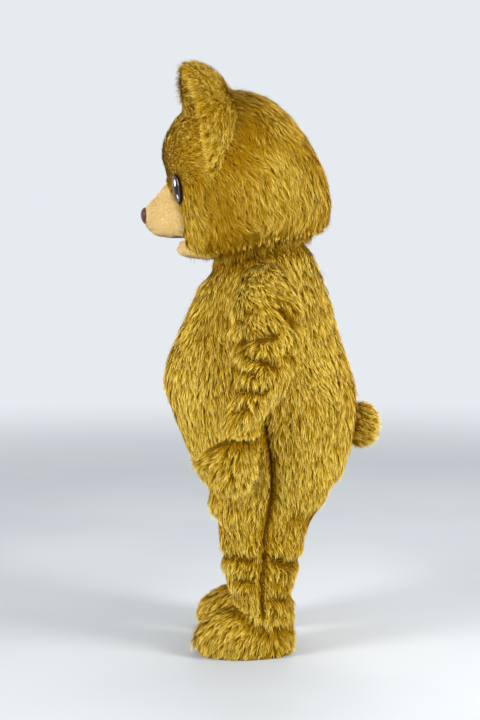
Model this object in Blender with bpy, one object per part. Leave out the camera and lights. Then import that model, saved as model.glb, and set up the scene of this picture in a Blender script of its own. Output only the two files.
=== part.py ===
"""Bear mascot costume: bodysuit, sleeves, mittens, boots, tail and a worn head.

All sizes are metres. Heights are measured from the floor under the boots; the empty
`costume` then carries every piece down so that the origin lies at the neck opening,
where the suit hangs from the wearer's shoulders. The bear faces -Y, its left is +X.
Tables give the outline with its pile on; the cloth itself lies PILE inside it.
"""

from collections import namedtuple
from math import cos, pi, radians, sin

import bmesh
import bpy
import numpy as np

# ---------------------------------------------------------------- driving sizes

SHOULDER_HEIGHT = 1.300       # origin above the floor
PILE = 0.009                  # pile, lying flat, outside the cloth
CLOTH = 0.003                 # fur cloth of suit, sleeves and mittens
BOOT_WALL = 0.006             # lined fur cloth of the boot uppers
HEAD_WALL = 0.012             # moulded foam shell with its cover
SEAM_GAP = 0.0003             # between neighbouring pieces
SEAT_GAP = 0.0006             # between a sewn-on piece and what carries it

NECK_SLOPE = 0.27             # rise of the neck edge per metre towards the back
NECK_FADE = (1.18, 1.29)      # heights over which the slope comes in
ARMHOLE_HEIGHT = 1.150
ARMHOLE_RADIUS = 0.115        # half the armhole's height
ARMHOLE_REACH = 0.30          # half its depth, as a share of a quarter panel
CROTCH_HEIGHT = 0.425
LEG_BLEND_TOP = 0.585         # where the belly starts to divide into legs
HEM_FRONT = 0.180             # trouser hem over the instep
HEM_BACK = 0.122
HEM_FADE = 0.115              # height over which the hem's rise comes in

SUIT_COLUMNS = 6              # in each quarter panel
ARMHOLE_STEPS = 8             # rows of the armhole
MITTEN_COLUMNS = 6
BOOT_COLUMNS = 16
FACE_COLUMNS = 8
HEAD_SIDE_COLUMNS = 7
HEAD_BACK_COLUMNS = 4
BACK_SEAM = 138.0             # degrees round the head from the face

BOOT_OFFSET = 0.168           # boot centre from the middle plane
SOLE_THICKNESS = 0.012
SOLE_INSET = 0.010

# ---------------------------------------------------------------- outline tables

TorsoRow = namedtuple("TorsoRow", "height front back half_width")
TORSO = (
    TorsoRow(1.300, -0.152, 0.146, 0.165),
    TorsoRow(1.255, -0.172, 0.186, 0.198),
    TorsoRow(1.190, -0.198, 0.226, 0.226),
    TorsoRow(1.100, -0.240, 0.254, 0.254),
    TorsoRow(1.000, -0.284, 0.283, 0.288),
    TorsoRow(0.920, -0.312, 0.310, 0.310),
    TorsoRow(0.860, -0.315, 0.326, 0.320),
    TorsoRow(0.780, -0.293, 0.330, 0.324),
    TorsoRow(0.700, -0.262, 0.322, 0.322),
    TorsoRow(0.620, -0.230, 0.305, 0.314),
    TorsoRow(0.540, -0.200, 0.274, 0.304),
    TorsoRow(0.470, -0.166, 0.222, 0.294),
    TorsoRow(0.400, -0.140, 0.170, 0.284),
)

LegRow = namedtuple("LegRow", "height front back inner outer")
LEG = (
    LegRow(0.600, -0.222, 0.306, 0.000, 0.310),
    LegRow(0.520, -0.212, 0.282, 0.000, 0.302),
    LegRow(0.460, -0.172, 0.224, 0.000, 0.293),
    LegRow(0.425, -0.150, 0.186, 0.002, 0.288),
    LegRow(0.380, -0.134, 0.160, 0.012, 0.284),
    LegRow(0.320, -0.130, 0.150, 0.022, 0.281),
    LegRow(0.260, -0.117, 0.130, 0.032, 0.276),
    LegRow(0.200, -0.102, 0.118, 0.040, 0.272),
    LegRow(0.120, -0.086, 0.122, 0.046, 0.268),
)

# Folds pressed into a tube: where they cross, how far round and how wide they run.
Fold = namedtuple("Fold", "height around slope depth width reach")
SUIT_FOLDS = (
    Fold(0.315, -0.50, 0.02, 0.013, 0.018, 0.30),
    Fold(0.292, 0.42, 0.05, 0.016, 0.020, 0.26),
    Fold(0.196, 0.50, -0.04, 0.012, 0.018, 0.24),
)

SleeveRow = namedtuple("SleeveRow", "inner_x inner_height outer_x outer_height front back")
SLEEVE = (
    SleeveRow(0.277, 1.035, 0.200, 1.265, -0.078, 0.122),
    SleeveRow(0.293, 1.026, 0.270, 1.262, -0.080, 0.128),
    SleeveRow(0.306, 1.014, 0.336, 1.238, -0.082, 0.131),
    SleeveRow(0.317, 0.998, 0.396, 1.196, -0.084, 0.132),
    SleeveRow(0.324, 0.980, 0.445, 1.138, -0.084, 0.130),
    SleeveRow(0.329, 0.958, 0.477, 1.066, -0.080, 0.125),
    SleeveRow(0.334, 0.928, 0.492, 0.984, -0.068, 0.110),
    SleeveRow(0.338, 0.888, 0.493, 0.912, -0.064, 0.094),
    SleeveRow(0.341, 0.845, 0.488, 0.852, -0.084, 0.066),
    SleeveRow(0.341, 0.795, 0.479, 0.795, -0.112, 0.024),
    SleeveRow(0.340, 0.742, 0.470, 0.742, -0.124, 0.004),
)

MittenRow = namedtuple("MittenRow", "height front back inner_x outer_x thumb")
MITTEN = (
    MittenRow(0.780, -0.102, -0.012, 0.362, 0.450, 0.0),
    MittenRow(0.745, -0.106, -0.008, 0.360, 0.452, 0.0),
    MittenRow(0.718, -0.134, 0.002, 0.350, 0.461, 0.1),
    MittenRow(0.692, -0.176, -0.001, 0.345, 0.466, 0.4),
    MittenRow(0.668, -0.208, -0.005, 0.343, 0.468, 0.6),
    MittenRow(0.648, -0.202, -0.007, 0.343, 0.468, 0.6),
    MittenRow(0.630, -0.168, -0.009, 0.344, 0.466, 0.2),
    MittenRow(0.600, -0.158, -0.016, 0.350, 0.460, 0.0),
    MittenRow(0.574, -0.142, -0.034, 0.362, 0.448, 0.0),
    MittenRow(0.562, -0.120, -0.060, 0.380, 0.430, 0.0),
    MittenRow(0.558, -0.090, -0.090, 0.405, 0.405, 0.0),
)

BootRow = namedtuple("BootRow", "height front back half_width")
BOOT = (
    BootRow(0.013, -0.204, 0.116, 0.102),
    BootRow(0.045, -0.214, 0.120, 0.107),
    BootRow(0.080, -0.204, 0.119, 0.104),
    BootRow(0.110, -0.178, 0.116, 0.095),
    BootRow(0.134, -0.142, 0.111, 0.084),
    BootRow(0.152, -0.104, 0.106, 0.076),
    BootRow(0.168, -0.078, 0.098, 0.071),
    BootRow(0.205, -0.070, 0.092, 0.068),
)

HeadRow = namedtuple("HeadRow", "height front back back_height half_width")
HEAD = (
    HeadRow(1.268, -0.160, 0.146, 1.348, 0.178),
    HeadRow(1.280, -0.236, 0.214, 1.374, 0.240),
    HeadRow(1.307, -0.264, 0.235, 1.400, 0.268),
    HeadRow(1.339, -0.268, 0.241, 1.428, 0.285),
    HeadRow(1.445, -0.292, 0.242, 1.486, 0.301),
    HeadRow(1.550, -0.309, 0.224, 1.560, 0.301),
    HeadRow(1.620, -0.325, 0.193, 1.626, 0.289),
    HeadRow(1.700, -0.306, 0.151, 1.696, 0.259),
    HeadRow(1.770, -0.252, 0.093, 1.763, 0.206),
    HeadRow(1.818, -0.168, 0.022, 1.813, 0.126),
    HeadRow(1.835, -0.066, -0.066, 1.835, 0.000),
)

# The cream face: its edge round the head, in degrees, and how far the muzzle stands out.
FaceRow = namedtuple("FaceRow", "height edge forward")
FACE = (
    FaceRow(1.268, 42.0, 0.012),
    FaceRow(1.302, 31.5, 0.015),
    FaceRow(1.318, 27.7, 0.009),
    FaceRow(1.330, 24.9, 0.002),
    FaceRow(1.338, 24.4, 0.001),
    FaceRow(1.344, 25.0, 0.048),
    FaceRow(1.366, 30.0, 0.089),
    FaceRow(1.410, 33.0, 0.096),
    FaceRow(1.458, 29.0, 0.079),
    FaceRow(1.500, 20.0, 0.035),
    FaceRow(1.530, 11.0, 0.008),
    FaceRow(1.550, 0.0, 0.000),
    FaceRow(1.900, 0.0, 0.000),
)
JAW_LEVELS = (0.0, 0.7, 1.3, 2.0, 2.5, 2.92)
MUZZLE_LEVELS = (3.03, 3.12, 3.3, 3.65, 4.1, 4.5, 4.8, 5.0)
SKULL_LEVELS = (5.6, 6.2, 6.9, 7.5, 8.1, 8.7, 9.3, 9.94)

# Hard face pieces: place on the head, half sizes, how far they bulge and their seat.
Boss = namedtuple("Boss", "around level half_wide half_high dome lift")
NOSE = Boss(0.0, 3.82, 0.040, 0.029, 0.014, 0.0006)
EYE = Boss(30.5, 4.50, 0.025, 0.050, 0.008, 0.0045)

EAR_CENTRE = (0.212, -0.169, 1.700)
EAR_SEMI_AXES = (0.110, 0.200, 0.120)     # across, up, back
EAR_SQUARENESS = 0.85                     # below 1, the top is broader than an ellipse
EAR_THICKNESS = 0.034
EAR_TURN = radians(18.0)                  # opening turned outwards
EAR_LEAN = (-0.02, -0.28, 1.0)            # up axis: outwards, forwards, up
EAR_RINGS = 5
EAR_COLUMNS = 16

TAIL_CENTRE = (0.0, 0.340, 0.729)
TAIL_SEMI_AXES = (0.068, 0.056, 0.070)

# ---------------------------------------------------------------- finishes

Finish = namedtuple("Finish", "name colour roughness")
GOLDEN_FUR = Finish("golden_fur", (0.46, 0.29, 0.055), 0.95)
CREAM_PLUSH = Finish("cream_plush", (0.74, 0.52, 0.28), 0.90)
NOSE_VINYL = Finish("nose_vinyl", (0.055, 0.012, 0.008), 0.35)
EYE_ACRYLIC = Finish("eye_acrylic", (0.010, 0.009, 0.010), 0.08)
SOLE_FOAM = Finish("sole_foam", (0.035, 0.033, 0.032), 0.85)


def material(finish):
    """The Principled material of a finish, made once and shared after that."""
    found = bpy.data.materials.get(finish.name)
    if found:
        return found
    made = bpy.data.materials.new(finish.name)
    made.use_nodes = True
    shader = made.node_tree.nodes["Principled BSDF"]
    shader.inputs["Base Color"].default_value = (*finish.colour, 1.0)
    shader.inputs["Roughness"].default_value = finish.roughness
    shader.inputs["Metallic"].default_value = 0.0
    return made


# ---------------------------------------------------------------- curves and sections


def smoothstep(value):
    """Ease from 0 to 1 as value goes from 0 to 1."""
    held = np.clip(value, 0.0, 1.0)
    return held * held * (3.0 - 2.0 * held)


def smooth_curve(stations, values, at):
    """Cubic curve through the values, its slopes taken from their neighbours."""
    order = np.argsort(stations)
    x = np.asarray(stations, dtype=float)[order]
    y = np.asarray(values, dtype=float)[order]
    slope = np.gradient(y, x)
    at = np.clip(np.asarray(at, dtype=float), x[0], x[-1])
    i = np.clip(np.searchsorted(x, at, side="right") - 1, 0, len(x) - 2)
    width = x[i + 1] - x[i]
    t = (at - x[i]) / width
    rise = (1 + 2 * t) * (1 - t) ** 2 * y[i] + t * t * (3 - 2 * t) * y[i + 1]
    return rise + width * t * (1 - t) * ((1 - t) * slope[i] - t * slope[i + 1])


def by_height(table, column, height):
    """A column of a table as a smooth curve over its height."""
    return smooth_curve([row.height for row in table], [getattr(row, column) for row in table], height)


def by_level(table, column, level):
    """A column of a table as a smooth curve over its row number."""
    return smooth_curve(range(len(table)), [getattr(row, column) for row in table], level)


def unit(vectors):
    """The vectors at length one."""
    return vectors / np.maximum(np.linalg.norm(vectors, axis=-1, keepdims=True), 1e-12)


def stacked(x, y, z):
    """Three like arrays as one array of points."""
    return np.stack(np.broadcast_arrays(x, y, z), axis=-1).astype(float)


def numeric_normals(surface, across, along, step=1e-3):
    """Outward normals of surface(across, along), from its slopes both ways."""
    over = surface(across + step, along) - surface(across - step, along)
    up = surface(across, along + step) - surface(across, along - step)
    return unit(np.cross(over, up))


# ---------------------------------------------------------------- the suit's surface


def fold_depth(around, height):
    """How far the suit's folds press the cloth in."""
    depth = 0.0
    for fold in SUIT_FOLDS:
        line = fold.height + fold.slope * (around - fold.around)
        across = np.exp(-(((height - line) / fold.width) ** 2))
        depth = depth + fold.depth * across * np.exp(-(((around - fold.around) / fold.reach) ** 2))
    return depth


def suit_surface(around, height, depth):
    """Points of the suit's left half, `depth` inside its outline.

    `around` runs from -1 at the centre front over 0 at the side to 1 at the centre back.
    Above the crotch a row is half an ellipse; below it, a whole one round the leg.
    """
    torso = radians(90.0) * around
    leg = radians(180.0) * around
    share = smoothstep((LEG_BLEND_TOP - height) / (LEG_BLEND_TOP - CROTCH_HEIGHT))

    front, back = by_height(TORSO, "front", height), by_height(TORSO, "back", height)
    width, half_depth = by_height(TORSO, "half_width", height), (back - front) / 2
    torso_x, torso_y = width * np.cos(torso), (front + back) / 2 + half_depth * np.sin(torso)
    torso_normal = unit(stacked(np.cos(torso) / width, np.sin(torso) / half_depth, 0.0))

    front, back = by_height(LEG, "front", height), by_height(LEG, "back", height)
    inner, outer = by_height(LEG, "inner", height), by_height(LEG, "outer", height)
    inner = np.where(height > CROTCH_HEIGHT, -PILE, inner - PILE)
    half_width, half_depth = (outer - inner) / 2, (back - front) / 2
    leg_x = (inner + outer) / 2 + half_width * np.cos(leg)
    leg_y = (front + back) / 2 + half_depth * np.sin(leg)
    leg_normal = unit(stacked(np.cos(leg) / half_width, np.sin(leg) / half_depth, 0.0))

    x = (1 - share) * torso_x + share * leg_x
    y = (1 - share) * torso_y + share * leg_y
    share = np.broadcast_to(share, x.shape)[..., None]
    normal = unit((1 - share) * torso_normal + share * leg_normal)
    neck = smoothstep((height - NECK_FADE[0]) / (NECK_FADE[1] - NECK_FADE[0]))
    hem_rise = (HEM_FRONT - HEM_BACK) * np.maximum(-np.sin(leg), 0.0)
    hem = smoothstep(1.0 - (height - HEM_BACK) / HEM_FADE)
    z = height + NECK_SLOPE * y * neck + hem_rise * hem
    pressed = np.broadcast_to(depth + fold_depth(around, height), x.shape)
    return stacked(x, y, z) - normal * pressed[..., None]


def suit_x_guard(points, heights):
    """Keep the torso's middle edges off the middle plane."""
    high = np.broadcast_to(heights, points.shape[:2]) >= CROTCH_HEIGHT
    points[..., 0] = np.where(high, np.maximum(points[..., 0], 0.0), points[..., 0])
    return points


def armhole_half(height):
    """Half the armhole's depth at a height, in the panel's own measure."""
    across = 1.0 - ((height - ARMHOLE_HEIGHT) / ARMHOLE_RADIUS) ** 2
    return ARMHOLE_REACH * np.sqrt(np.clip(across, 0.0, 1.0))


def suit_heights():
    """Row heights of the quarter panels, dense at the armhole and the crotch."""
    turns = np.arange(ARMHOLE_STEPS + 1) * pi / ARMHOLE_STEPS
    armhole = ARMHOLE_HEIGHT + ARMHOLE_RADIUS * np.cos(turns)
    below = (0.97, 0.90, 0.83, 0.76, 0.69, 0.62, 0.56, 0.51, 0.47, 0.445)
    leg = (CROTCH_HEIGHT, 0.39, 0.345, 0.315, 0.285, 0.25, 0.215, 0.19, 0.16, HEM_BACK)
    return np.concatenate(((1.30,), armhole, below, leg))


# ---------------------------------------------------------------- other surfaces


def sleeve_surface(around, level, depth):
    """Points of the left sleeve; `around` in radians from the outer side to the back."""
    inner = stacked(by_level(SLEEVE, "inner_x", level), 0.0, by_level(SLEEVE, "inner_height", level))
    outer = stacked(by_level(SLEEVE, "outer_x", level), 0.0, by_level(SLEEVE, "outer_height", level))
    front, back = by_level(SLEEVE, "front", level), by_level(SLEEVE, "back", level)
    half = np.linalg.norm(outer - inner, axis=-1) / 2
    across = unit(outer - inner) * ((half - depth) * np.cos(around))[..., None]
    sideways = (front + back) / 2 + ((back - front) / 2 - depth) * np.sin(around)
    return (inner + outer) / 2 + across + stacked(0.0, sideways, 0.0)


def armhole_loop(around):
    """Points of the armhole's edge, at the same angles as the sleeve's rings."""
    height = ARMHOLE_HEIGHT + ARMHOLE_RADIUS * np.cos(around)
    return suit_surface(ARMHOLE_REACH * np.sin(around), height, PILE)


def mitten_surface(around, level):
    """Points of the left mitten; the front of a row draws out into the thumb."""
    front, back = by_level(MITTEN, "front", level), by_level(MITTEN, "back", level)
    inner, outer = by_level(MITTEN, "inner_x", level), by_level(MITTEN, "outer_x", level)
    thumb = by_level(MITTEN, "thumb", level)
    forward = np.maximum(-np.sin(around), 0.0)
    x = (inner + outer) / 2 + (outer - inner) / 2 * np.cos(around) * (1 - thumb * forward**2)
    y = (front + back) / 2 + (back - front) / 2 * np.sin(around)
    return stacked(x, y, by_level(MITTEN, "height", level))


def boot_surface(around, level):
    """Points of a boot about its own middle, fuller at the toe than at the heel."""
    front, back = by_level(BOOT, "front", level), by_level(BOOT, "back", level)
    width = by_level(BOOT, "half_width", level)
    x = width * np.cos(around) * (1 - 0.10 * np.sin(around))
    y = (front + back) / 2 + (back - front) / 2 * np.sin(around)
    return stacked(x, y, by_level(BOOT, "height", level))


def head_column(name, level):
    """A column of the head's table, carried on past the crown so the top is round."""
    beyond = HEAD[-2]._replace(front=HEAD[-2].back, back=HEAD[-2].front, half_width=-HEAD[-2].half_width)
    return by_level(HEAD + (beyond,), name, level)


def face_edge(level):
    """Angle round the head, in degrees, where the cream face meets the fur."""
    height = head_column("height", level)
    return np.maximum(np.interp(height, [r.height for r in FACE], [r.edge for r in FACE]), 0.0)


def head_surface(around, level):
    """Points of the head; `around` in degrees from the middle of the face to its left."""
    turn = np.radians(around)
    front, back = head_column("front", level), head_column("back", level)
    low, high = head_column("height", level), head_column("back_height", level)
    ahead = np.cos(turn)
    x = head_column("half_width", level) * np.sin(turn)
    y = (front + back) / 2 + (front - back) / 2 * ahead
    z = (low + high) / 2 + (low - high) / 2 * ahead
    edge = np.maximum(face_edge(level), 1.0)
    side = np.clip(1.0 - (around / edge) ** 2, 0.0, 1.0) ** 0.6
    forward = np.maximum(by_height(FACE, "forward", low), 0.0)
    return stacked(x, y - forward * side, z)


# ---------------------------------------------------------------- meshes


def closed_mesh(name, points, faces, finish, mirrored=False):
    """One closed outward-facing object from points and faces, in the costume's place."""
    placed = np.array(points, dtype=float)
    if mirrored:
        placed[:, 0] *= -1.0
    mesh = bpy.data.meshes.new(name)
    work = bmesh.new()
    corners = [work.verts.new(point) for point in placed]
    for face in faces:
        work.faces.new([corners[i] for i in face])
    bmesh.ops.remove_doubles(work, verts=work.verts, dist=1e-6)
    bmesh.ops.recalc_face_normals(work, faces=work.faces)
    work.to_mesh(mesh)
    work.free()
    mesh.shade_smooth()
    mesh.set_sharp_from_angle(angle=radians(50.0))
    mesh.materials.append(material(finish))
    made = bpy.data.objects.new(name, mesh)
    bpy.context.collection.objects.link(made)
    made.parent = bpy.data.objects["costume"]
    return made


def grid_faces(rows, columns, start, closed):
    """Four-sided faces of a grid of points that are numbered row by row."""
    span = columns if closed else columns - 1
    faces = []
    for r in range(rows - 1):
        for c in range(span):
            low, high = start + r * columns, start + (r + 1) * columns
            following = (c + 1) % columns
            faces.append((low + c, low + following, high + following, high + c))
    return faces


def wall(name, outer, inner, finish, closed=False, mirrored=False):
    """A wall between two like grids of points, closed round its edges.

    Edge faces are split the same way on every panel, so that twisted neighbours match.
    """
    rows, columns = outer.shape[:2]
    count = rows * columns
    faces = grid_faces(rows, columns, 0, closed)
    faces += [tuple(reversed(face)) for face in grid_faces(rows, columns, count, closed)]
    index = np.arange(count).reshape(rows, columns)
    edges = [index[0], index[-1]]
    if closed:
        edges = [np.append(edge, edge[0]) for edge in edges]
    else:
        edges += [index[:, 0], index[:, -1]]
    for edge in edges:
        for a, b in zip(edge[:-1].tolist(), edge[1:].tolist()):
            faces += [(a, b, b + count), (a, b + count, a + count)]
    points = np.concatenate((outer.reshape(-1, 3), inner.reshape(-1, 3)))
    return closed_mesh(name, points, faces, finish, mirrored)


def seam_back(outer, inner, first=True, last=True):
    """Draw a panel's side edges back by half a seam gap, along the panel."""
    for column, neighbour, wanted in ((0, 1, first), (-1, -2, last)):
        if wanted:
            shift = unit(outer[:, neighbour] - outer[:, column]) * SEAM_GAP / 2
            outer[:, column] += shift
            inner[:, column] += shift


def dome(name, front, back, finish, mirrored=False):
    """A solid between two like polar grids that share their rim's outline."""
    return wall(name, front, back, finish, closed=True, mirrored=mirrored)


# ---------------------------------------------------------------- suit


def build_suit():
    """Four quarter panels from the neck to the ankles."""
    heights = suit_heights()[:, None]
    shares = np.linspace(0.0, 1.0, SUIT_COLUMNS + 1)[None, :]
    reach = 1.0 - armhole_half(heights)
    quarters = {"front": -1.0 + reach * shares, "back": 1.0 - reach * shares}
    for side, mirrored in (("left", False), ("right", True)):
        for quarter, around in quarters.items():
            outer = suit_x_guard(suit_surface(around, heights, PILE), heights)
            inner = suit_x_guard(suit_surface(around, heights, PILE + CLOTH), heights)
            seam_back(outer, inner)
            wall(f"suit_{quarter}_{side}", outer, inner, GOLDEN_FUR, mirrored=mirrored)


def build_sleeves():
    """One-piece sleeves that start inside the armholes' edges."""
    around = (np.arange(2 * ARMHOLE_STEPS) * pi / ARMHOLE_STEPS)[None, :]
    levels = np.arange(len(SLEEVE), dtype=float)[:, None]
    fade = (1.0 - smoothstep(levels / 2.0))[..., None]
    loop = armhole_loop(around)
    outer = sleeve_surface(around, levels, PILE)
    inner = sleeve_surface(around, levels, PILE + CLOTH)
    to_loop = loop - outer[:1]
    outer = outer + to_loop * fade
    inner = inner + to_loop * fade
    inward = unit(loop.mean(axis=1, keepdims=True) - loop) * 2 * SEAM_GAP
    outer[:1] += inward
    inner[:1] += inward
    for side, mirrored in (("left", False), ("right", True)):
        wall(f"sleeve_{side}", outer, inner, GOLDEN_FUR, closed=True, mirrored=mirrored)


def build_tail():
    """A stuffed ball, cut where it sits on the back of the suit."""
    turns = np.linspace(0.0, 2 * pi, 18, endpoint=False)[None, :]
    tilts = np.linspace(-pi / 2, pi / 2, 10)[:, None]
    x, y, z = TAIL_SEMI_AXES
    ball = np.array(TAIL_CENTRE) + stacked(
        x * np.cos(turns) * np.cos(tilts), y * np.sin(turns) * np.cos(tilts), z * np.sin(tilts)
    )
    rows, columns = ball.shape[:2]
    faces = grid_faces(rows, columns, 0, True)
    tail = closed_mesh("tail", ball.reshape(-1, 3), faces, GOLDEN_FUR)

    heights = np.linspace(0.56, 0.92, 13)[:, None]
    half = suit_surface(np.linspace(-1.0, 1.0, 25)[None, :], heights, PILE - SEAT_GAP)
    other = half[:, -2:0:-1] * np.array((-1.0, 1.0, 1.0))
    body = np.concatenate((half, other), axis=1)
    cut_to_seat(tail, "tail_seat", body)


def cut_to_seat(piece, name, rings):
    """Cut from a piece all that lies inside a body given as closed rings."""
    rows, columns = rings.shape[:2]
    faces = grid_faces(rows, columns, 0, True)
    faces.append(tuple(range(columns)))
    faces.append(tuple(range((rows - 1) * columns, rows * columns)))
    cutter = bpy.data.objects.get(name)
    if cutter is None:
        cutter = closed_mesh(name, rings.reshape(-1, 3), faces, GOLDEN_FUR)
        cutter.hide_render = True
        cutter.display_type = "WIRE"
    cut = piece.modifiers.new("seat", "BOOLEAN")
    cut.operation = "DIFFERENCE"
    cut.object = cutter


# ---------------------------------------------------------------- mittens and boots


def build_mittens():
    """Mittens of an outer and a palm panel, open at the cuff."""
    levels = np.concatenate((np.arange(len(MITTEN) - 1), [len(MITTEN) - 1.15]))[:, None].astype(float)
    shares = np.linspace(-pi / 2, pi / 2, MITTEN_COLUMNS + 1)[None, :]
    for name, around in (("back", shares), ("palm", shares + pi)):
        surface = mitten_surface(around, levels)
        normal = -numeric_normals(mitten_surface, around, levels)
        outer, inner = surface - normal * PILE, surface - normal * (PILE + CLOTH)
        seam_back(outer, inner)
        for side, mirrored in (("left", False), ("right", True)):
            wall(f"glove_{name}_{side}", outer, inner, GOLDEN_FUR, mirrored=mirrored)


def build_boots():
    """Furred uppers open at the collar, each on a flat sole."""
    levels = np.arange(len(BOOT), dtype=float)[:, None]
    around = np.linspace(0.0, 2 * pi, BOOT_COLUMNS, endpoint=False)[None, :]
    surface = boot_surface(around, levels)
    normal = numeric_normals(boot_surface, around, levels)
    normal[0] = unit(normal[0] * np.array((1.0, 1.0, 0.0)))
    outer, inner = surface - normal * PILE, surface - normal * (PILE + BOOT_WALL)
    outline = surface[0] - normal[0] * SOLE_INSET
    top = SOLE_THICKNESS + SEAM_GAP
    outer[0, :, 2] = top
    inner[0, :, 2] = top
    lift = SOLE_THICKNESS - SEAM_GAP
    for side, sign in (("left", 1.0), ("right", -1.0)):
        mirrored = sign < 0
        offset = np.array((BOOT_OFFSET, 0.0, 0.0))
        wall(f"boot_upper_{side}", outer + offset, inner + offset, GOLDEN_FUR, True, mirrored)
        ring = outline + offset
        rings = np.concatenate((ring * (1, 1, 0), ring * (1, 1, 0) + (0, 0, lift)))
        faces = grid_faces(2, BOOT_COLUMNS, 0, True)
        faces.append(tuple(range(BOOT_COLUMNS)))
        faces.append(tuple(range(BOOT_COLUMNS, 2 * BOOT_COLUMNS)))
        closed_mesh(f"boot_sole_{side}", rings, faces, SOLE_FOAM, mirrored)


# ---------------------------------------------------------------- head


def head_wall(around, levels):
    """Outer and inner grids of a head panel."""
    surface = head_surface(around, levels)
    normal = numeric_normals(head_surface, around, levels)
    return surface - normal * PILE, surface - normal * (PILE + HEAD_WALL)


def build_head():
    """Fur-covered sides and back, with the cream muzzle and jaw let in at the front."""
    levels = np.array(JAW_LEVELS + MUZZLE_LEVELS + SKULL_LEVELS)[:, None]
    edge = face_edge(levels)
    shares = np.linspace(0.0, 1.0, HEAD_SIDE_COLUMNS + 1)[None, :]
    outer, inner = head_wall(edge + (BACK_SEAM - edge) * shares, levels)
    seam_back(outer, inner)
    for side, mirrored in (("left", False), ("right", True)):
        wall(f"head_side_{side}", outer, inner, GOLDEN_FUR, mirrored=mirrored)

    around = np.linspace(BACK_SEAM, 360.0 - BACK_SEAM, HEAD_BACK_COLUMNS + 1)[None, :]
    outer, inner = head_wall(np.broadcast_to(around, (len(levels), around.shape[1])), levels)
    seam_back(outer, inner)
    wall("head_back", outer, inner, GOLDEN_FUR)

    shares = np.linspace(-1.0, 1.0, FACE_COLUMNS + 1)[None, :]
    for name, rows in (("jaw", JAW_LEVELS), ("muzzle", MUZZLE_LEVELS)):
        rows = np.array(rows)[:, None]
        outer, inner = head_wall(face_edge(rows) * shares, rows)
        seam_back(outer, inner)
        wall(name, outer, inner, CREAM_PLUSH)


def boss_grids(boss):
    """Front and back polar grids of a domed piece that lies on the head."""
    turns = np.linspace(0.0, 2 * pi, 14, endpoint=False)[None, :]
    rings = np.array((0.0, 0.4, 0.72, 0.92, 1.0))[:, None]
    step = 0.05
    wide = np.linalg.norm(head_surface(boss.around + step, boss.level)
                          - head_surface(boss.around - step, boss.level)) / (2 * step)
    high = np.linalg.norm(head_surface(boss.around, boss.level + step)
                          - head_surface(boss.around, boss.level - step)) / (2 * step)
    around = boss.around + boss.half_wide / wide * rings * np.cos(turns)
    level = boss.level + boss.half_high / high * rings * np.sin(turns)
    seat = head_surface(around, level)
    normal = numeric_normals(head_surface, around, level)
    rise = boss.dome * np.sqrt(np.clip(1.0 - rings**2, 0.0, 1.0))[..., None]
    back = seat - normal * (PILE - boss.lift)
    return back + normal * (rise + 0.002), back


def build_face():
    """The nose on the tip of the muzzle and the two eyes beside it."""
    front, back = boss_grids(NOSE)
    dome("nose", front, back, NOSE_VINYL)
    front, back = boss_grids(EYE)
    dome("eye_left", front, back, EYE_ACRYLIC)
    dome("eye_right", front, back, EYE_ACRYLIC, mirrored=True)


def build_ears():
    """Padded cups that open forwards and outwards, cut to sit on the head."""
    across = np.array((cos(EAR_TURN), sin(EAR_TURN), 0.0))
    up = unit(np.array(EAR_LEAN))
    back = unit(np.cross(up, across))
    turns = np.linspace(0.0, 2 * pi, EAR_COLUMNS, endpoint=False)[None, :, None]
    tilts = np.linspace(0.0, pi / 2, EAR_RINGS + 1)[:, None, None]

    def broad(wave):
        """A sine or cosine, swelled so that the ear's outline is fuller."""
        return np.sign(wave) * np.abs(wave) ** EAR_SQUARENESS

    def bowl(shrink):
        """Half an ellipsoid behind the ear's opening, `shrink` inside the outer one."""
        wide, tall, deep = (size - shrink for size in EAR_SEMI_AXES)
        ring = wide * broad(np.cos(turns)) * across + tall * broad(np.sin(turns)) * up
        return np.array(EAR_CENTRE) + ring * np.cos(tilts) + deep * np.sin(tilts) * back

    levels = np.array(JAW_LEVELS + MUZZLE_LEVELS + SKULL_LEVELS)[:, None]
    around = np.broadcast_to(np.linspace(0.0, 360.0, 96, endpoint=False)[None, :], (len(levels), 96))
    skull = head_surface(around, levels) - numeric_normals(head_surface, around, levels) * (PILE - SEAT_GAP)
    for side, mirrored in (("left", False), ("right", True)):
        ear = wall(f"ear_{side}", bowl(PILE), bowl(PILE + EAR_THICKNESS), GOLDEN_FUR, True, mirrored)
        cut_to_seat(ear, "head_seat", skull)


# ---------------------------------------------------------------- the whole costume


def clear_scene():
    """Remove what the file holds, so that only the costume is left."""
    for old in list(bpy.data.objects):
        bpy.data.objects.remove(old, do_unlink=True)


def main():
    """Build every piece under one empty at the neck opening."""
    clear_scene()
    costume = bpy.data.objects.new("costume", None)
    costume.location = (0.0, 0.0, -SHOULDER_HEIGHT)
    bpy.context.collection.objects.link(costume)
    build_suit()
    build_sleeves()
    build_tail()
    build_mittens()
    build_boots()
    build_head()
    build_face()
    build_ears()


main()
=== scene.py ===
"""Looks of the bear mascot costume: cloth, pile, plush face, nose, eyes and soles.

Sizes are metres. Forms are worked out with heights above the floor and then carried down
by the height of the shoulders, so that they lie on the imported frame. The bear faces -Y
and its left is +X. Outlines are those of the lying pile; the cloth is PILE inside them.
"""

import logging
from collections.abc import Callable
from dataclasses import dataclass, replace
from enum import Enum
from math import cos, pi, radians, sin
from typing import ClassVar

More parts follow.
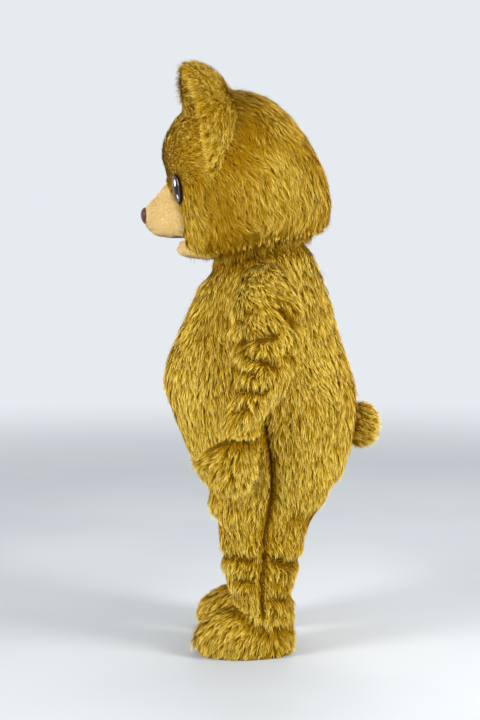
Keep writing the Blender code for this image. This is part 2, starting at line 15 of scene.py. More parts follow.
import bmesh
import bpy
import numpy as np
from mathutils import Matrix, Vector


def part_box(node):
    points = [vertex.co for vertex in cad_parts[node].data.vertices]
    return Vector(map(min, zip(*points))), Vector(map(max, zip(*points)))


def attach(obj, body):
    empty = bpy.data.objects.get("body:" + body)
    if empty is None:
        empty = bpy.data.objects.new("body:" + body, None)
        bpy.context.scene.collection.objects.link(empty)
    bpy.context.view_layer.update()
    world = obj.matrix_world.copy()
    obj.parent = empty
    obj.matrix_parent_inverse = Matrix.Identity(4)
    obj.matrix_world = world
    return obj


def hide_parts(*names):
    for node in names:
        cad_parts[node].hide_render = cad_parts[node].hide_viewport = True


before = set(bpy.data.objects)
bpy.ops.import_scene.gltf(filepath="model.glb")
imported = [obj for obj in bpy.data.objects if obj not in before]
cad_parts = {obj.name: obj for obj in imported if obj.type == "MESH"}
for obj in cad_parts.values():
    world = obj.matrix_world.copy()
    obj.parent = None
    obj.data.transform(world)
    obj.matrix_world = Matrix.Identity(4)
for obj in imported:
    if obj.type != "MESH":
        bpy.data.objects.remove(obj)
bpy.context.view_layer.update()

log = logging.getLogger("bear_costume")

Array = np.ndarray
Comb = Callable[[Array, Array], Array]
Trim = Callable[[Array], Array]
Form = Callable[[Array, Array], Array]
Pair = tuple[float, float]
Triple = tuple[float, float, float]
Colour = Triple

FLOOR = float(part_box("boot_sole_left")[0][2])
PILE = 0.009
CLOTH = 0.003
BOOT_WALL = 0.006
HEAD_WALL = 0.012
SEAM_GAP = 0.0003
LOCK_MAP = "OFBake"
WELD = 2e-5
HEAD_HEART = np.array((0.0, -0.03, 1.54))
FRINGE_SEED = 1000


class Side(Enum):
    """The wearer's two sides, by the sign of X."""

    LEFT = 1.0
    RIGHT = -1.0

    @property
    def label(self) -> str:
        """The side's name as it stands at the end of a node's name."""
        return self.name.lower()


class Hold(Enum):
    """How a cut piece of cloth keeps its shape."""

    HUNG = "hung"
    STRETCHED = "stretched"
    PADDED = "padded"


# ---------------------------------------------------------------- arithmetic


def smoothstep(value: Array) -> Array:
    """Ease from 0 to 1 as value goes from 0 to 1."""
    held = np.clip(value, 0.0, 1.0)
    return held * held * (3.0 - 2.0 * held)


def unit(vectors: Array) -> Array:
    """The vectors at length one."""
    return vectors / np.maximum(np.linalg.norm(vectors, axis=-1, keepdims=True), 1e-12)


def stacked(x: Array, y: Array, z: Array) -> Array:
    """Three like arrays as one array of points."""
    return np.stack(np.broadcast_arrays(x, y, z), axis=-1).astype(float)


def dot(a: Array, b: Array) -> Array:
    """Row by row dot product, kept as a last axis of one."""
    return np.sum(a * b, axis=-1, keepdims=True)


def facing(normals: Array, outward: Array) -> Array:
    """Normals, each turned to the side of a rough outward direction."""
    return normals * np.sign(dot(normals, outward))


def ring_angles(count: int) -> Array:
    """Angles evenly round a circle, as a row."""
    return np.linspace(0.0, 2 * pi, count, endpoint=False)[None, :]


def smooth_curve(stations: Array, values: Array, at: Array) -> Array:
    """A cubic through given values, with slopes taken from their neighbours.

    Args:
        stations: where the values stand, in rising or falling order.
        values: the values themselves.
        at: where the curve is read.

    Returns:
        The curve's value at each place.
    """
    order = np.argsort(stations)
    x = np.asarray(stations, dtype=float)[order]
    y = np.asarray(values, dtype=float)[order]
    slope = np.gradient(y, x)
    at = np.clip(np.asarray(at, dtype=float), x[0], x[-1])
    i = np.clip(np.searchsorted(x, at, side="right") - 1, 0, len(x) - 2)
    width = x[i + 1] - x[i]
    t = (at - x[i]) / width
    rise = (1 + 2 * t) * (1 - t) ** 2 * y[i] + t * t * (3 - 2 * t) * y[i + 1]
    return rise + width * t * (1 - t) * ((1 - t) * slope[i] - t * slope[i + 1])


def form_normals(form: Form, across: Array, along: Array, step: float = 1e-3) -> Array:
    """Normals of a form, from the cross product of its slopes both ways.

    Args:
        form: points for a place across and a place along.
        across: places across.
        along: places along.
        step: how far apart the slopes are read.

    Returns:
        Vectors of length one.
    """
    over = form(across + step, along) - form(across - step, along)
    up = form(across, along + step) - form(across, along - step)
    return unit(np.cross(over, up))


@dataclass(frozen=True)
class Outline:
    """Sections of a form as rows of named columns, read as smooth curves."""

    columns: str
    rows: tuple[tuple[float, ...], ...]
    by_row: bool = False

    def at(self, column: str, station: Array) -> Array:
        """Read one column.

        Args:
            column: its name.
            station: values of the first column, or row numbers if by_row is set.

        Returns:
            The column's smooth curve at each station.
        """
        names = self.columns.split()
        values = [row[names.index(column)] for row in self.rows]
        stations = range(len(self.rows)) if self.by_row else [row[0] for row in self.rows]
        return smooth_curve(stations, values, station)

    def span(self, low: str, high: str, station: Array) -> tuple[Array, Array]:
        """The middle between two columns, and half the way from low to high."""
        first, last = self.at(low, station), self.at(high, station)
        return (first + last) / 2, (last - first) / 2

    def levels(self, count: int, short: float = 1.0) -> Array:
        """Row numbers from the first row to short of the last, as a column."""
        return np.linspace(0.0, len(self.rows) - short, count)[:, None]


@dataclass(frozen=True)
class Rolling:
    """Slow variation over space: slanted sine waves of fixed random direction, summed."""

    wavelength: float
    seed: int
    waves: int = 8

    def at(self, points: Array) -> Array:
        """The variation at points, about zero with a spread near one.

        Args:
            points: the places asked about.

        Returns:
            One value for each point.
        """
        draw = np.random.default_rng(self.seed)
        ways = unit(draw.normal(size=(self.waves, 3)))
        ways *= (2 * pi / (self.wavelength * draw.uniform(0.6, 1.7, self.waves)))[:, None]
        waves = np.sin(points @ ways.T + draw.uniform(0, 2 * pi, self.waves))
        return waves.sum(-1) / np.sqrt(self.waves / 2)


@dataclass(frozen=True)
class Crease:
    """A soft trough pressed along a short line, with the cloth swelling beside it.

    The line's ends are (x, y, height). Distances along the axis of the smallest weight
    count for little, so that the line need not lie exactly on the cloth. At d widths
    from the line the cloth is pressed in by
    1.25 * depth * (exp(-d**2) - swell * exp(-(d - 2.1)**2)), fading at the line's ends.
    """

    start: Triple
    end: Triple
    width: float = 0.016
    depth: float = 0.012
    swell: float = 0.35
    weights: Triple = (0.35, 1.0, 1.0)

    def press(self, points: Array) -> Array:
        """How far the cloth is pressed in at points; negative where it swells.

        Args:
            points: the places asked about.

        Returns:
            Depths in metres.
        """
        scale = np.array(self.weights)
        first, last = np.array(self.start) * scale, np.array(self.end) * scale
        line = last - first
        away = points * scale - first
        share = np.clip(away @ line / (line @ line), -0.2, 1.2)
        apart = np.linalg.norm(away - share[..., None] * line, axis=-1) / self.width
        ends = smoothstep((0.62 - np.abs(share - 0.5)) / 0.3)
        trough = np.exp(-(apart**2)) - self.swell * np.exp(-((apart - 2.1) ** 2))
        return 1.25 * self.depth * ends * trough

    def other_side(self, shift: float) -> "Crease":
        """A like crease for the other half, a little way along from the first.

        Args:
            shift: how far along, in metres.

        Returns:
            The crease.
        """
        move = np.array((0.0, shift, -0.6 * shift))
        return replace(
            self, start=tuple(np.array(self.start) + move), end=tuple(np.array(self.end) + move),
            depth=self.depth * (1.0 - 4.0 * abs(shift)),
        )


def creases_on(side: Side, creases: tuple[Crease, ...], shift: float) -> tuple[Crease, ...]:
    """The left's creases, or for the right like ones a little way along."""
    return creases if side is Side.LEFT else tuple(crease.other_side(shift) for crease in creases)


# ---------------------------------------------------------------- meshes


@dataclass
class Skin:
    """The pile side of a piece: a grid of points with outward normals.

    Its painted_shade says how much shade is painted on the pile at each point, in a crease, seam or shaded
    place, from 0 to 1.
    """

    points: Array
    normals: Array
    closed: bool = False
    painted_shade: Array | None = None

    @classmethod
    def over(cls, points: Array, outward: Array, closed: bool = False) -> "Skin":
        """Skin over a grid, its normals worked out from the grid's own slopes.

        Args:
            points: rows and columns of points.
            outward: rough outward directions, to choose the normals' side.
            closed: whether the last column joins the first.

        Returns:
            The skin.
        """
        down = np.gradient(points, axis=0)
        if closed:
            over = np.roll(points, -1, axis=1) - np.roll(points, 1, axis=1)
        else:
            over = np.gradient(points, axis=1)
        normals = unit(np.cross(over, down))
        good = np.isfinite(normals).all(-1, keepdims=True) & (np.abs(dot(normals, outward)) > 0.2)
        normals = np.where(good, facing(normals, outward), outward)
        return cls(points, unit(normals), closed)

    def mirrored(self) -> "Skin":
        """The same skin on the other half of the body, its columns turned round.

        Returns:
            The other half's skin.
        """
        flip = np.array((-1.0, 1.0, 1.0))
        painted_shade = None if self.painted_shade is None else self.painted_shade[:, ::-1]
        return Skin(self.points[:, ::-1] * flip, self.normals[:, ::-1] * flip, self.closed, painted_shade)

    def on(self, side: Side) -> "Skin":
        """This skin, made for the left, on either side."""
        return self if side is Side.LEFT else self.mirrored()

    def part(self, rows: slice, start: int = 0) -> "Skin":
        """Some rows of the skin, from one column on."""
        return Skin(self.points[rows, start:], self.normals[rows, start:], self.closed)

    def corners(self, grid: Array) -> list[Array]:
        """The four corner values of each cell of a grid, as flat lists.

        Args:
            grid: values at the skin's points.

        Returns:
            One list for each corner, in order round the cell.
        """
        full = np.concatenate((grid, grid[:, :1]), axis=1) if self.closed else grid
        cells = (full[:-1, :-1], full[:-1, 1:], full[1:, 1:], full[1:, :-1])
        return [cell.reshape(-1, full.shape[-1]) for cell in cells]

    def outward(self, faces: Array) -> Array:
        """Faces over this skin's grid, turned round if they face against its normals.

        Args:
            faces: four-cornered faces.

        Returns:
            The faces as they should run.
        """
        a, b, c, d = self.corners(self.points)
        inwards = np.sum(np.cross(c - a, d - b) * self.corners(self.normals)[0]) < 0
        return faces[:, ::-1] if inwards else faces

    def areas(self) -> Array:
        """The area of each cell: half its diagonals' cross product."""
        a, b, c, d = self.corners(self.points)
        return np.linalg.norm(np.cross(c - a, d - b), axis=-1) / 2

    def cut(self) -> Pair:
        """Width and length of the flat cut.

        Returns:
            The longest row, which goes all round a tube, and the longest column.
        """
        rows = self.points
        if self.closed:
            rows = np.concatenate((rows, rows[:, :1]), axis=1)
        row = np.linalg.norm(np.diff(rows, axis=1), axis=-1).sum(1).max()
        column = np.linalg.norm(np.diff(self.points, axis=0), axis=-1).sum(0).max()
        return float(row), float(column)

    def scatter(self, count: int, draw: np.random.Generator) -> tuple[Array, Array, Array]:
        """Evenly spread random places.

        Args:
            count: how many.
            draw: the random source.

        Returns:
            Points, outward normals, and how much shade is painted at each, from 0 to 1.
        """
        areas = self.areas()
        pick = (np.arange(count) + draw.random(count)) / count * areas.sum()
        cell = np.minimum(np.searchsorted(np.cumsum(areas), pick), len(areas) - 1)
        u, v = draw.random((2, count, 1))
        shares = ((1 - u) * (1 - v), u * (1 - v), u * v, (1 - u) * v)
        painted_shade = np.zeros(self.points.shape[:2]) if self.painted_shade is None else self.painted_shade
        found = [
            sum(share * corner[cell] for share, corner in zip(shares, self.corners(grid)))
            for grid in (self.points, self.normals, painted_shade[..., None])
        ]
        return found[0], unit(found[1]), found[2][:, 0]


def weld(mesh: bpy.types.Mesh, distance: float = WELD, tidy: bool = False) -> None:
    """Make points that coincide one.

    Args:
        mesh: the mesh to change.
        distance: how far apart such points may be.
        tidy: whether faces left without area go too.
    """
    work = bmesh.new()
    work.from_mesh(mesh)
    bmesh.ops.remove_doubles(work, verts=work.verts, dist=distance)
    if tidy:
        bmesh.ops.dissolve_degenerate(work, edges=work.edges, dist=1e-6)
    work.to_mesh(mesh)
    work.free()


def chart_onto(made: bpy.types.Object, places: Array) -> None:
    """Give an object its map, from one place for each corner of each face."""
    layer = made.data.uv_layers.new(name=LOCK_MAP)
    layer.data.foreach_set("uv", np.ascontiguousarray(places, dtype=np.float32).ravel())


def new_object(name: str, points: Array, faces: Array, merge: bool = False) -> bpy.types.Object:
    """A mesh object at the origin.

    Args:
        name: the piece's name.
        points: its points, with heights above the floor.
        faces: corner numbers, one row for each face.
        merge: whether points that coincide become one.

    Returns:
        The object, smooth shaded.
    """
    mesh = bpy.data.meshes.new(name)
    corners = faces.shape[1]
    placed = np.ascontiguousarray(points + np.array((0.0, 0.0, FLOOR)), dtype=np.float32)
    mesh.vertices.add(len(points))
    mesh.vertices.foreach_set("co", placed.ravel())
    mesh.loops.add(faces.size)
    mesh.loops.foreach_set("vertex_index", faces.ravel().astype(np.int32))
    mesh.polygons.add(len(faces))
    mesh.polygons.foreach_set("loop_start", np.arange(0, faces.size, corners, dtype=np.int32))
    mesh.polygons.foreach_set("use_smooth", np.ones(len(faces), dtype=bool))
    mesh.update(calc_edges=True)
    if merge:
        weld(mesh, tidy=True)
    made = bpy.data.objects.new(name, mesh)
    bpy.context.scene.collection.objects.link(made)
    return made


def grid_cells(rows: int, columns: int, closed: bool) -> tuple[Array, Array]:
    """Faces of a grid and its edge, run in the faces' own direction.

    Args:
        rows: points along.
        columns: points across.
        closed: whether the last column joins the first.

    Returns:
        Four-cornered faces, and the boundary's two-ended steps.
    """
    index = np.arange(rows * columns).reshape(rows, columns)
    if closed:
        index = np.concatenate((index, index[:, :1]), axis=1)
    faces = np.stack((index[:-1, :-1], index[:-1, 1:], index[1:, 1:], index[1:, :-1]), axis=-1)
    runs = [index[0], index[-1, ::-1]]
    if not closed:
        runs += [index[::-1, 0], index[:, -1]]
    steps = np.concatenate([np.stack((run[:-1], run[1:]), axis=-1) for run in runs])
    return faces.reshape(-1, 4), steps


def shell_faces(faces: Array, steps: Array, count: int) -> Array:
    """Faces of a closed shell, whose lining's points are numbered count after its own.

    Args:
        faces: the outer side's faces.
        steps: the boundary's steps.
        count: how many points the outer side has.

    Returns:
        The outer side, the lining and the wall along the boundary.
    """
    rim = np.stack((steps[:, 1], steps[:, 0], steps[:, 0] + count, steps[:, 1] + count), axis=-1)
    return np.concatenate((faces, faces[:, ::-1] + count, rim))


def wall_object(name: str, skin: Skin, thickness: float) -> bpy.types.Object:
    """A closed wall inwards from a skin; its lining faces have material index 1.

    Args:
        name: the piece's name.
        skin: the outer side.
        thickness: how thick the wall is.

    Returns:
        The object.
    """
    rows, columns = skin.points.shape[:2]
    faces, steps = grid_cells(rows, columns, skin.closed)
    everything = skin.outward(shell_faces(faces, steps, rows * columns))
    inner = skin.points - skin.normals * thickness
    points = np.concatenate((skin.points.reshape(-1, 3), inner.reshape(-1, 3)))
    made = new_object(name, points, everything)
    lining = np.zeros(len(everything), dtype=np.int32)
    lining[len(faces) : 2 * len(faces)] = 1
    made.data.polygons.foreach_set("material_index", lining)
    weld(made.data)
    return made


def solid_object(name: str, skin: Skin) -> bpy.types.Object:
    """A stuffed piece whose whole surface is one closed skin."""
    faces, _ = grid_cells(*skin.points.shape[:2], skin.closed)
    return new_object(name, skin.points.reshape(-1, 3), skin.outward(faces), merge=True)


# ---------------------------------------------------------------- pile


def cell_random(cells: Array, channels: int) -> Array:
    """Repeatable random numbers from 0 to 1 for whole-number cells of space.

    Args:
        cells: whole numbers, three to a row.
        channels: how many numbers each cell gets.

    Returns:
        One row of numbers for each cell, by mixing the bits of its three numbers.
    """
    mixed = (cells[:, 0] * 73856093) ^ (cells[:, 1] * 19349663) ^ (cells[:, 2] * 83492791)
    value = (mixed[:, None] + np.arange(1, channels + 1) * 0x9E3779B1) & 0xFFFFFFFF
    for _ in range(2):
        value = ((value ^ (value >> 16)) * 0x45D9F3B) & 0xFFFFFFFF
    return (value ^ (value >> 16)) / 2.0**32


def nearest_clump(points: Array, spacing: float) -> tuple[Array, Array]:
    """The clump each hair belongs to: the nearest of one random point in each cell.

    Args:
        points: the hairs' roots.
        spacing: the cells' size.

    Returns:
        The clumps' middles, and their cells.
    """
    home = np.floor(points / spacing).astype(np.int64)
    best = np.full(len(points), np.inf)
    middle, cell = points.copy(), home.copy()
    around = np.stack(np.meshgrid((-1, 0, 1), (-1, 0, 1), (-1, 0, 1)), axis=-1).reshape(-1, 3)
    for step in around:
        there = home + step
        seed = (there + 0.15 + 0.7 * cell_random(there, 3)) * spacing
        apart = np.sum((seed - points) ** 2, axis=-1)
        nearer = apart < best
        best = np.where(nearer, apart, best)
        middle[nearer], cell[nearer] = seed[nearer], there[nearer]
    return middle, cell


@dataclass(frozen=True)
class Coat:
    """One kind of lock: how many stand on a square metre, their size, lie and waviness."""

    density: float
    length: float
    width: float
    lift: float = 18.0
    gather: float = 0.6
    wave: float = 0.0
    segments: int = 2
    tone: float = 0.0

    def sized(self, length: float, width: float = 1.0, density: float = 1.0) -> "Coat":
        """The same kind of lock, its length, width and density multiplied.

        Args:
            length: times the length.
            width: times the width.
            density: times the density.

        Returns:
            The new kind.
        """
        return replace(
            self, length=self.length * length, width=self.width * width, density=self.density * density,
        )


UNDERCOAT = Coat(50_000.0, 0.022, 0.0042, lift=22.0, gather=0.45, segments=1, tone=-0.20)
GUARD_HAIR = Coat(21_300.0, 0.038, 0.0025, lift=18.0, gather=0.72, wave=0.0028, segments=3, tone=0.22)


@dataclass
class Locks:
    """Flat tapered locks as one set of points, triangles and map places."""

    LOWEST_LINE: ClassVar[float] = 0.0008
    LOWEST_EDGE: ClassVar[float] = 0.0006

    points: Array
    faces: Array
    chart: Array

    @classmethod
    def along(cls, lines: Array, half: Array, tone: Array) -> "Locks":
        """Locks along lines.

        Args:
            lines: each lock's points from root to tip.
            half: from a lock's middle to its edge at the root.
            tone: how light each lock is, from 0 to 1.

        Returns:
            The locks; their map runs from root to tip and from dark to light.
        """
        count, rungs = lines.shape[:2]
        lines[..., 2] = np.maximum(lines[..., 2], cls.LOWEST_LINE)
        t = np.linspace(0.0, 1.0, rungs)
        taper = (1 - t[:-1] ** 1.5 * 0.7)[None, :, None] * half[:, None, :]
        pairs = np.stack((lines[:, :-1] - taper, lines[:, :-1] + taper), axis=2).reshape(count, -1, 3)
        points = np.concatenate((pairs, lines[:, -1:]), axis=1)
        points[..., 2] = np.maximum(points[..., 2], cls.LOWEST_EDGE)
        ladder = [
            triangle
            for i in range(rungs - 2)
            for triangle in ((2 * i, 2 * i + 1, 2 * i + 3), (2 * i, 2 * i + 3, 2 * i + 2))
        ]
        last = 2 * (rungs - 2)
        ladder.append((last, last + 1, last + 2))
        per_lock = points.shape[1]
        faces = np.array(ladder)[None] + (np.arange(count) * per_lock)[:, None, None]
        along = np.append(np.repeat(t[:-1], 2), 1.0) * 0.96 + 0.02
        across = np.append(np.tile((-0.012, 0.012), rungs - 1), 0.0)
        chart = np.stack((np.broadcast_to(along, (count, per_lock)), tone[:, None] + across), axis=-1)
        return cls(points.reshape(-1, 3), faces.reshape(-1, 3), chart.reshape(-1, 2))

    @classmethod
    def joined(cls, parts: list["Locks"]) -> "Locks":
        """Several sets as one.

        Args:
            parts: the sets.

        Returns:
            One set.
        """
        starts = np.cumsum([0] + [len(part.points) for part in parts[:-1]])
        faces = [part.faces + start for part, start in zip(parts, starts)]
        return cls(
            np.concatenate([part.points for part in parts]), np.concatenate(faces),
            np.concatenate([part.chart for part in parts]),
        )

    def piece(self, name: str) -> bpy.types.Object:
        """The locks as an object with their map.

        Args:
            name: the piece's name.

        Returns:
            The object.
        """
        made = new_object(name, self.points, self.faces)
        chart_onto(made, self.chart[self.faces.ravel()])
        return made


@dataclass(frozen=True)
class Pelt:
    """How a pile grows: its kinds of lock, and how they clump, stray and droop."""

    coats: tuple[Coat, ...] = (UNDERCOAT, GUARD_HAIR)
    clump: float = 0.012
    unruly: float = 0.38
    twist: float = 40.0
    stray: float = 0.06
    droop: float = 0.10
    patchy: float = 0.09
    patch: float = 0.22

    def grow(self, skin: Skin, comb: Comb, trim: Trim, seed: int) -> Locks:
        """Grow the pile over a skin.

        Args:
            skin: what it grows on.
            comb: the way it is combed, for each root and its normal.
            trim: a share of the length, for each root; none grows where it is zero.
            seed: the random source's start.

        Returns:
            Its locks.
        """
        draw = np.random.default_rng(seed)
        return Locks.joined([self.coat(coat, skin, comb, trim, draw) for coat in self.coats])

    def coat(self, coat: Coat, skin: Skin, comb: Comb, trim: Trim, draw: np.random.Generator) -> Locks:
        """Grow one kind of lock.

        A lock leaves the cloth at an angle, arches over and draws to its clump's middle:
        root + length * (t * cos(lift) * comb + t * (1 - t / 2) * sin(lift) * normal)
        + gather * t**1.3 * (middle - root) + wave * t * sin(turns of t) * sideways,
        for t from 0 at the root to 1 at the tip.

        Args:
            coat: the kind.
            skin: what it grows on.
            comb: the way it is combed.
            trim: a share of the length; the locks are shorter still where shade is painted.
            draw: the random source.

        Returns:
            The locks.
        """
        root, normal, painted_shade = skin.scatter(int(coat.density * skin.areas().sum()), draw)
        share = trim(root) * (1 - 0.5 * np.minimum(painted_shade, 1.3))
        kept = share > 0.03
        root, normal, share, painted_shade = root[kept], normal[kept], share[kept], painted_shade[kept]
        count = len(root)
        middle, cell = nearest_clump(root, self.clump)
        of_clump = cell_random(cell, 8)[:, 3:] * 2 - 1
        of_lock = draw.uniform(-1, 1, (count, 7))

        way = comb(root, normal)
        way = unit(way - normal * dot(way, normal))
        aside = np.cross(way, normal)
        swirl = Rolling(0.16, 11).at(root) * 0.5 + of_clump[:, 0] * 0.8 + of_lock[:, 0] * 0.45
        turn = (self.unruly * swirl)[:, None]
        way, aside = np.cos(turn) * way + np.sin(turn) * aside, np.cos(turn) * aside - np.sin(turn) * way

        stray = (draw.random(count) < self.stray)[:, None]
        length = coat.length * share * (1 + 0.28 * of_clump[:, 1] + 0.20 * of_lock[:, 1])
        length = length[:, None] * np.where(stray, 1.2, 1.0)
        lift = coat.lift * (1 + 0.45 * of_clump[:, 2] + 0.35 * of_lock[:, 2])[:, None]
        overhang = np.clip(-2.5 * normal[:, 2:3], 0.0, 1.0)
        lift = np.radians(lift * np.where(stray, 1.8, 1.0)) * (1 - 0.65 * overhang)
        inwards = middle - root
        inwards -= normal * dot(inwards, normal)
        inwards *= np.where(stray, 0.1, coat.gather)
        phase, cycles = 2 * pi * of_lock[:, 3:4], 0.9 + 0.5 * of_lock[:, 6:7]

        lines = []
        for t in np.linspace(0.0, 1.0, coat.segments + 1):
            run = t * np.cos(lift) * way + t * (1 - t / 2) * np.sin(lift) * normal
            fall = np.array((0.0, 0.0, -self.droop * t * t))
            sway = coat.wave * t * np.sin(2 * pi * cycles * t + phase) * aside
            sunk = normal * 0.001 * (1 - t)
            lines.append(root + length * (run + fall) + t**1.3 * inwards + sway - sunk)
        twist = np.radians(self.twist * (0.6 * of_clump[:, 3] + 0.6 * of_lock[:, 3]))[:, None]
        ribbon = np.cos(twist) * aside + np.sin(twist) * normal
        half = coat.width / 2 * (1 + 0.25 * of_lock[:, 4])[:, None] * np.where(stray, 0.6, 1.0)
        tone = 0.5 + coat.tone + self.patchy * Rolling(self.patch, 5).at(root)
        # Locks are darkened where shade is painted on the skin.
        tone = np.clip(tone + 0.14 * of_clump[:, 4] + 0.24 * of_lock[:, 5] - 0.6 * painted_shade, 0.03, 0.97)
        return Locks.along(np.stack(lines, axis=1), ribbon * half, tone)


# ---------------------------------------------------------------- finishes


Sockets = dict[str, bpy.types.NodeSocket]


class Bench:
    """A node tree under construction, with short calls for its nodes and links."""

    def __init__(self, tree: bpy.types.NodeTree) -> None:
        """Work on a tree."""
        self.tree = tree

    def feed(self, target: bpy.types.NodeSocket, value: object) -> None:
        """Link a socket to an input, or set the input's own number or colour.

        Args:
            target: the input.
            value: a socket, number or colour.
        """
        if isinstance(value, bpy.types.NodeSocket):
            self.tree.links.new(value, target)
        else:
            target.default_value = (*value, 1.0) if isinstance(value, tuple) else value

    def node(self, kind: str, **settings: object) -> bpy.types.Node:
        """Add a node.

        Args:
            kind: its type, without the ShaderNode prefix.
            settings: attributes, or in_NAME or in_NUMBER for what feeds an input.

        Returns:
            The node.
        """
        made = self.tree.nodes.new(f"ShaderNode{kind}")
        for name, value in settings.items():
            if name.startswith("in_"):
                key = name[3:].replace("_", " ")
                self.feed(made.inputs[int(key) if key.isdigit() else key], value)
            else:
                setattr(made, name, value)
        return made

    def maths(self, operation: str, *values: object) -> bpy.types.NodeSocket:
        """A Math node over sockets and numbers, and its result."""
        given = {f"in_{place}": value for place, value in enumerate(values)}
        return self.node("Math", operation=operation, **given).outputs[0]

    def mixed(self, share: object, first: object, second: object) -> bpy.types.NodeSocket:
        """A colour Mix node over sockets and colours, and its result."""
        return self.node("Mix", data_type="RGBA", in_0=share, in_6=first, in_7=second).outputs[2]

    def eased(self, value: bpy.types.NodeSocket, low: float, high: float) -> bpy.types.NodeSocket:
        """A value eased from 0 at low to 1 at high."""
        made = self.node("MapRange", interpolation_type="SMOOTHSTEP", in_0=value, in_1=low, in_2=high)
        return made.outputs[0]

    def bump(self, height: bpy.types.NodeSocket, strength: float, distance: float) -> bpy.types.NodeSocket:
        """The normal of a surface raised by a height."""
        made = self.node("Bump", in_Strength=strength, in_Distance=distance, in_Height=height)
        return made.outputs[0]

    def place(self) -> bpy.types.NodeSocket:
        """Where a point lies on its object, in metres."""
        return self.node("TexCoord").outputs["Object"]

    def chart(self) -> bpy.types.bpy_prop_collection:
        """The two places of a point on the piece's map, each on its own."""
        return self.node("SeparateXYZ", in_0=self.node("UVMap", uv_map=LOCK_MAP).outputs[0]).outputs


Wiring = Callable[[Bench, object], Sockets]


def shared_group(name: str, inputs: dict[str, object], wire: Wiring) -> bpy.types.NodeTree:
    """A shader group, made once.

    Args:
        name: the group's name.
        inputs: names with their first values; a tuple makes a colour.
        wire: makes the nodes from a bench and the inputs' sockets, and says what goes
            out by name; a name with Colour in it goes out as a colour.

    Returns:
        The group's tree.
    """
    tree = bpy.data.node_groups.get(name)
    if tree:
        return tree
    tree = bpy.data.node_groups.new(name, "ShaderNodeTree")
    bench = Bench(tree)
    kinds = {True: "NodeSocketColor", False: "NodeSocketFloat"}
    for title, value in inputs.items():
        kind = kinds[isinstance(value, tuple)]
        bench.feed(tree.interface.new_socket(title, in_out="INPUT", socket_type=kind), value)
    outgoing = wire(bench, tree.nodes.new("NodeGroupInput").outputs)
    for title in outgoing:
        tree.interface.new_socket(title, in_out="OUTPUT", socket_type=kinds["Colour" in title])
    result = tree.nodes.new("NodeGroupOutput")
    for title, socket in outgoing.items():
        bench.feed(result.inputs[title], socket)
    return tree


def lock_colour(bench: Bench, given: object) -> Sockets:
    """Colour of locks: shade painted dark at the root, light painted at the tip, each lock its own tone.

    Args:
        bench: the tree's bench.
        given: the group's incoming sockets.

    Returns:
        The locks' colour and roughness.
    """
    along, tone = bench.chart()[:2]
    body = bench.mixed(bench.eased(along, 0.05, 0.62), given["Root"], given["Middle"])
    light = bench.maths("MULTIPLY", bench.eased(along, 0.42, 1.0), bench.eased(tone, 0.05, 0.75))
    body = bench.mixed(light, body, given["Tip"])
    # Low tones, random and where shade is painted, lean to the shade colour.
    dark = bench.maths("SUBTRACT", 1.0, bench.eased(tone, 0.05, 0.70))
    body = bench.mixed(bench.maths("MULTIPLY", dark, 0.85), body, given["Shade"])
    return {"Colour": body, "Roughness": bench.maths("MULTIPLY_ADD", tone, -0.18, 0.68)}


def fibre_streaks(bench: Bench, given: object) -> Sockets:
    """Fine streaks of fibres that lie down the cloth, and slow patches.

    Args:
        bench: the tree's bench.
        given: the group's incoming sockets.

    Returns:
        Both patterns, from 0 to 1.
    """
    place = bench.place()
    size = bench.node("CombineXYZ", in_0=given["Across"], in_1=given["Across"], in_2=given["Along"])
    scaled = bench.node("VectorMath", operation="MULTIPLY", in_0=place, in_1=size.outputs[0])
    fine = bench.node("TexNoise", in_Scale=1.0, in_Detail=3.0, in_Distortion=0.6, in_Vector=scaled.outputs[0])
    patch = bench.node("TexNoise", in_Scale=9.0, in_Detail=4.0, in_Vector=place)
    return {
        "Streak": bench.eased(fine.outputs[0], 0.3, 0.7),
        "Patch": bench.eased(patch.outputs[0], 0.3, 0.7),
    }


@dataclass(frozen=True)
class Finish:
    """A Principled finish; subclasses add the pattern."""

    name: str
    roughness: float = 0.6
    sheen: float = 0.0
    sheen_tint: Colour = (1.0, 1.0, 1.0)
    specular: float = 0.3

    def material(self) -> bpy.types.Material:
        """The finish's material, made once.

        Returns:
            The material.
        """
        made = bpy.data.materials.get(f"{self.name}_finish")
        if made:
            return made
        made = bpy.data.materials.new(f"{self.name}_finish")
        made.use_nodes = True
        bench = Bench(made.node_tree)
        inputs = made.node_tree.nodes["Principled BSDF"].inputs
        plain = {
            "Roughness": self.roughness, "Sheen Weight": self.sheen, "Sheen Roughness": 0.5,
            "Sheen Tint": self.sheen_tint, "Specular IOR Level": self.specular,
        }
        for title, value in (*plain.items(), *self.pattern(bench).items()):
            bench.feed(inputs[title], value)
        return made

    def pattern(self, bench: Bench) -> Sockets:
        """What feeds the shader's colour and relief, by input."""
        raise NotImplementedError


@dataclass(frozen=True)
class LockFinish(Finish):
    """Hair fibres, coloured along their length: their own colour in the middle, painted shade at the root and
    painted light at the tip.
    """

    root: Colour = (0.10, 0.05, 0.0)
    middle: Colour = (0.4, 0.25, 0.03)
    tip: Colour = (0.7, 0.5, 0.2)
    shade: Colour = (0.3, 0.2, 0.02)

    def pattern(self, bench: Bench) -> Sockets:
        """Colour and roughness from the shared lock colour.

        Args:
            bench: the tree's bench.

        Returns:
            Sockets by the name of the shader's input.
        """
        colours = {"Root": self.root, "Middle": self.middle, "Tip": self.tip, "Shade": self.shade}
        tree = shared_group("lock_colour", colours, lock_colour)
        given = {f"in_{title}": colour for title, colour in colours.items()}
        outputs = bench.node("Group", node_tree=tree, **given).outputs
        return {"Base Color": outputs["Colour"], "Roughness": outputs["Roughness"]}


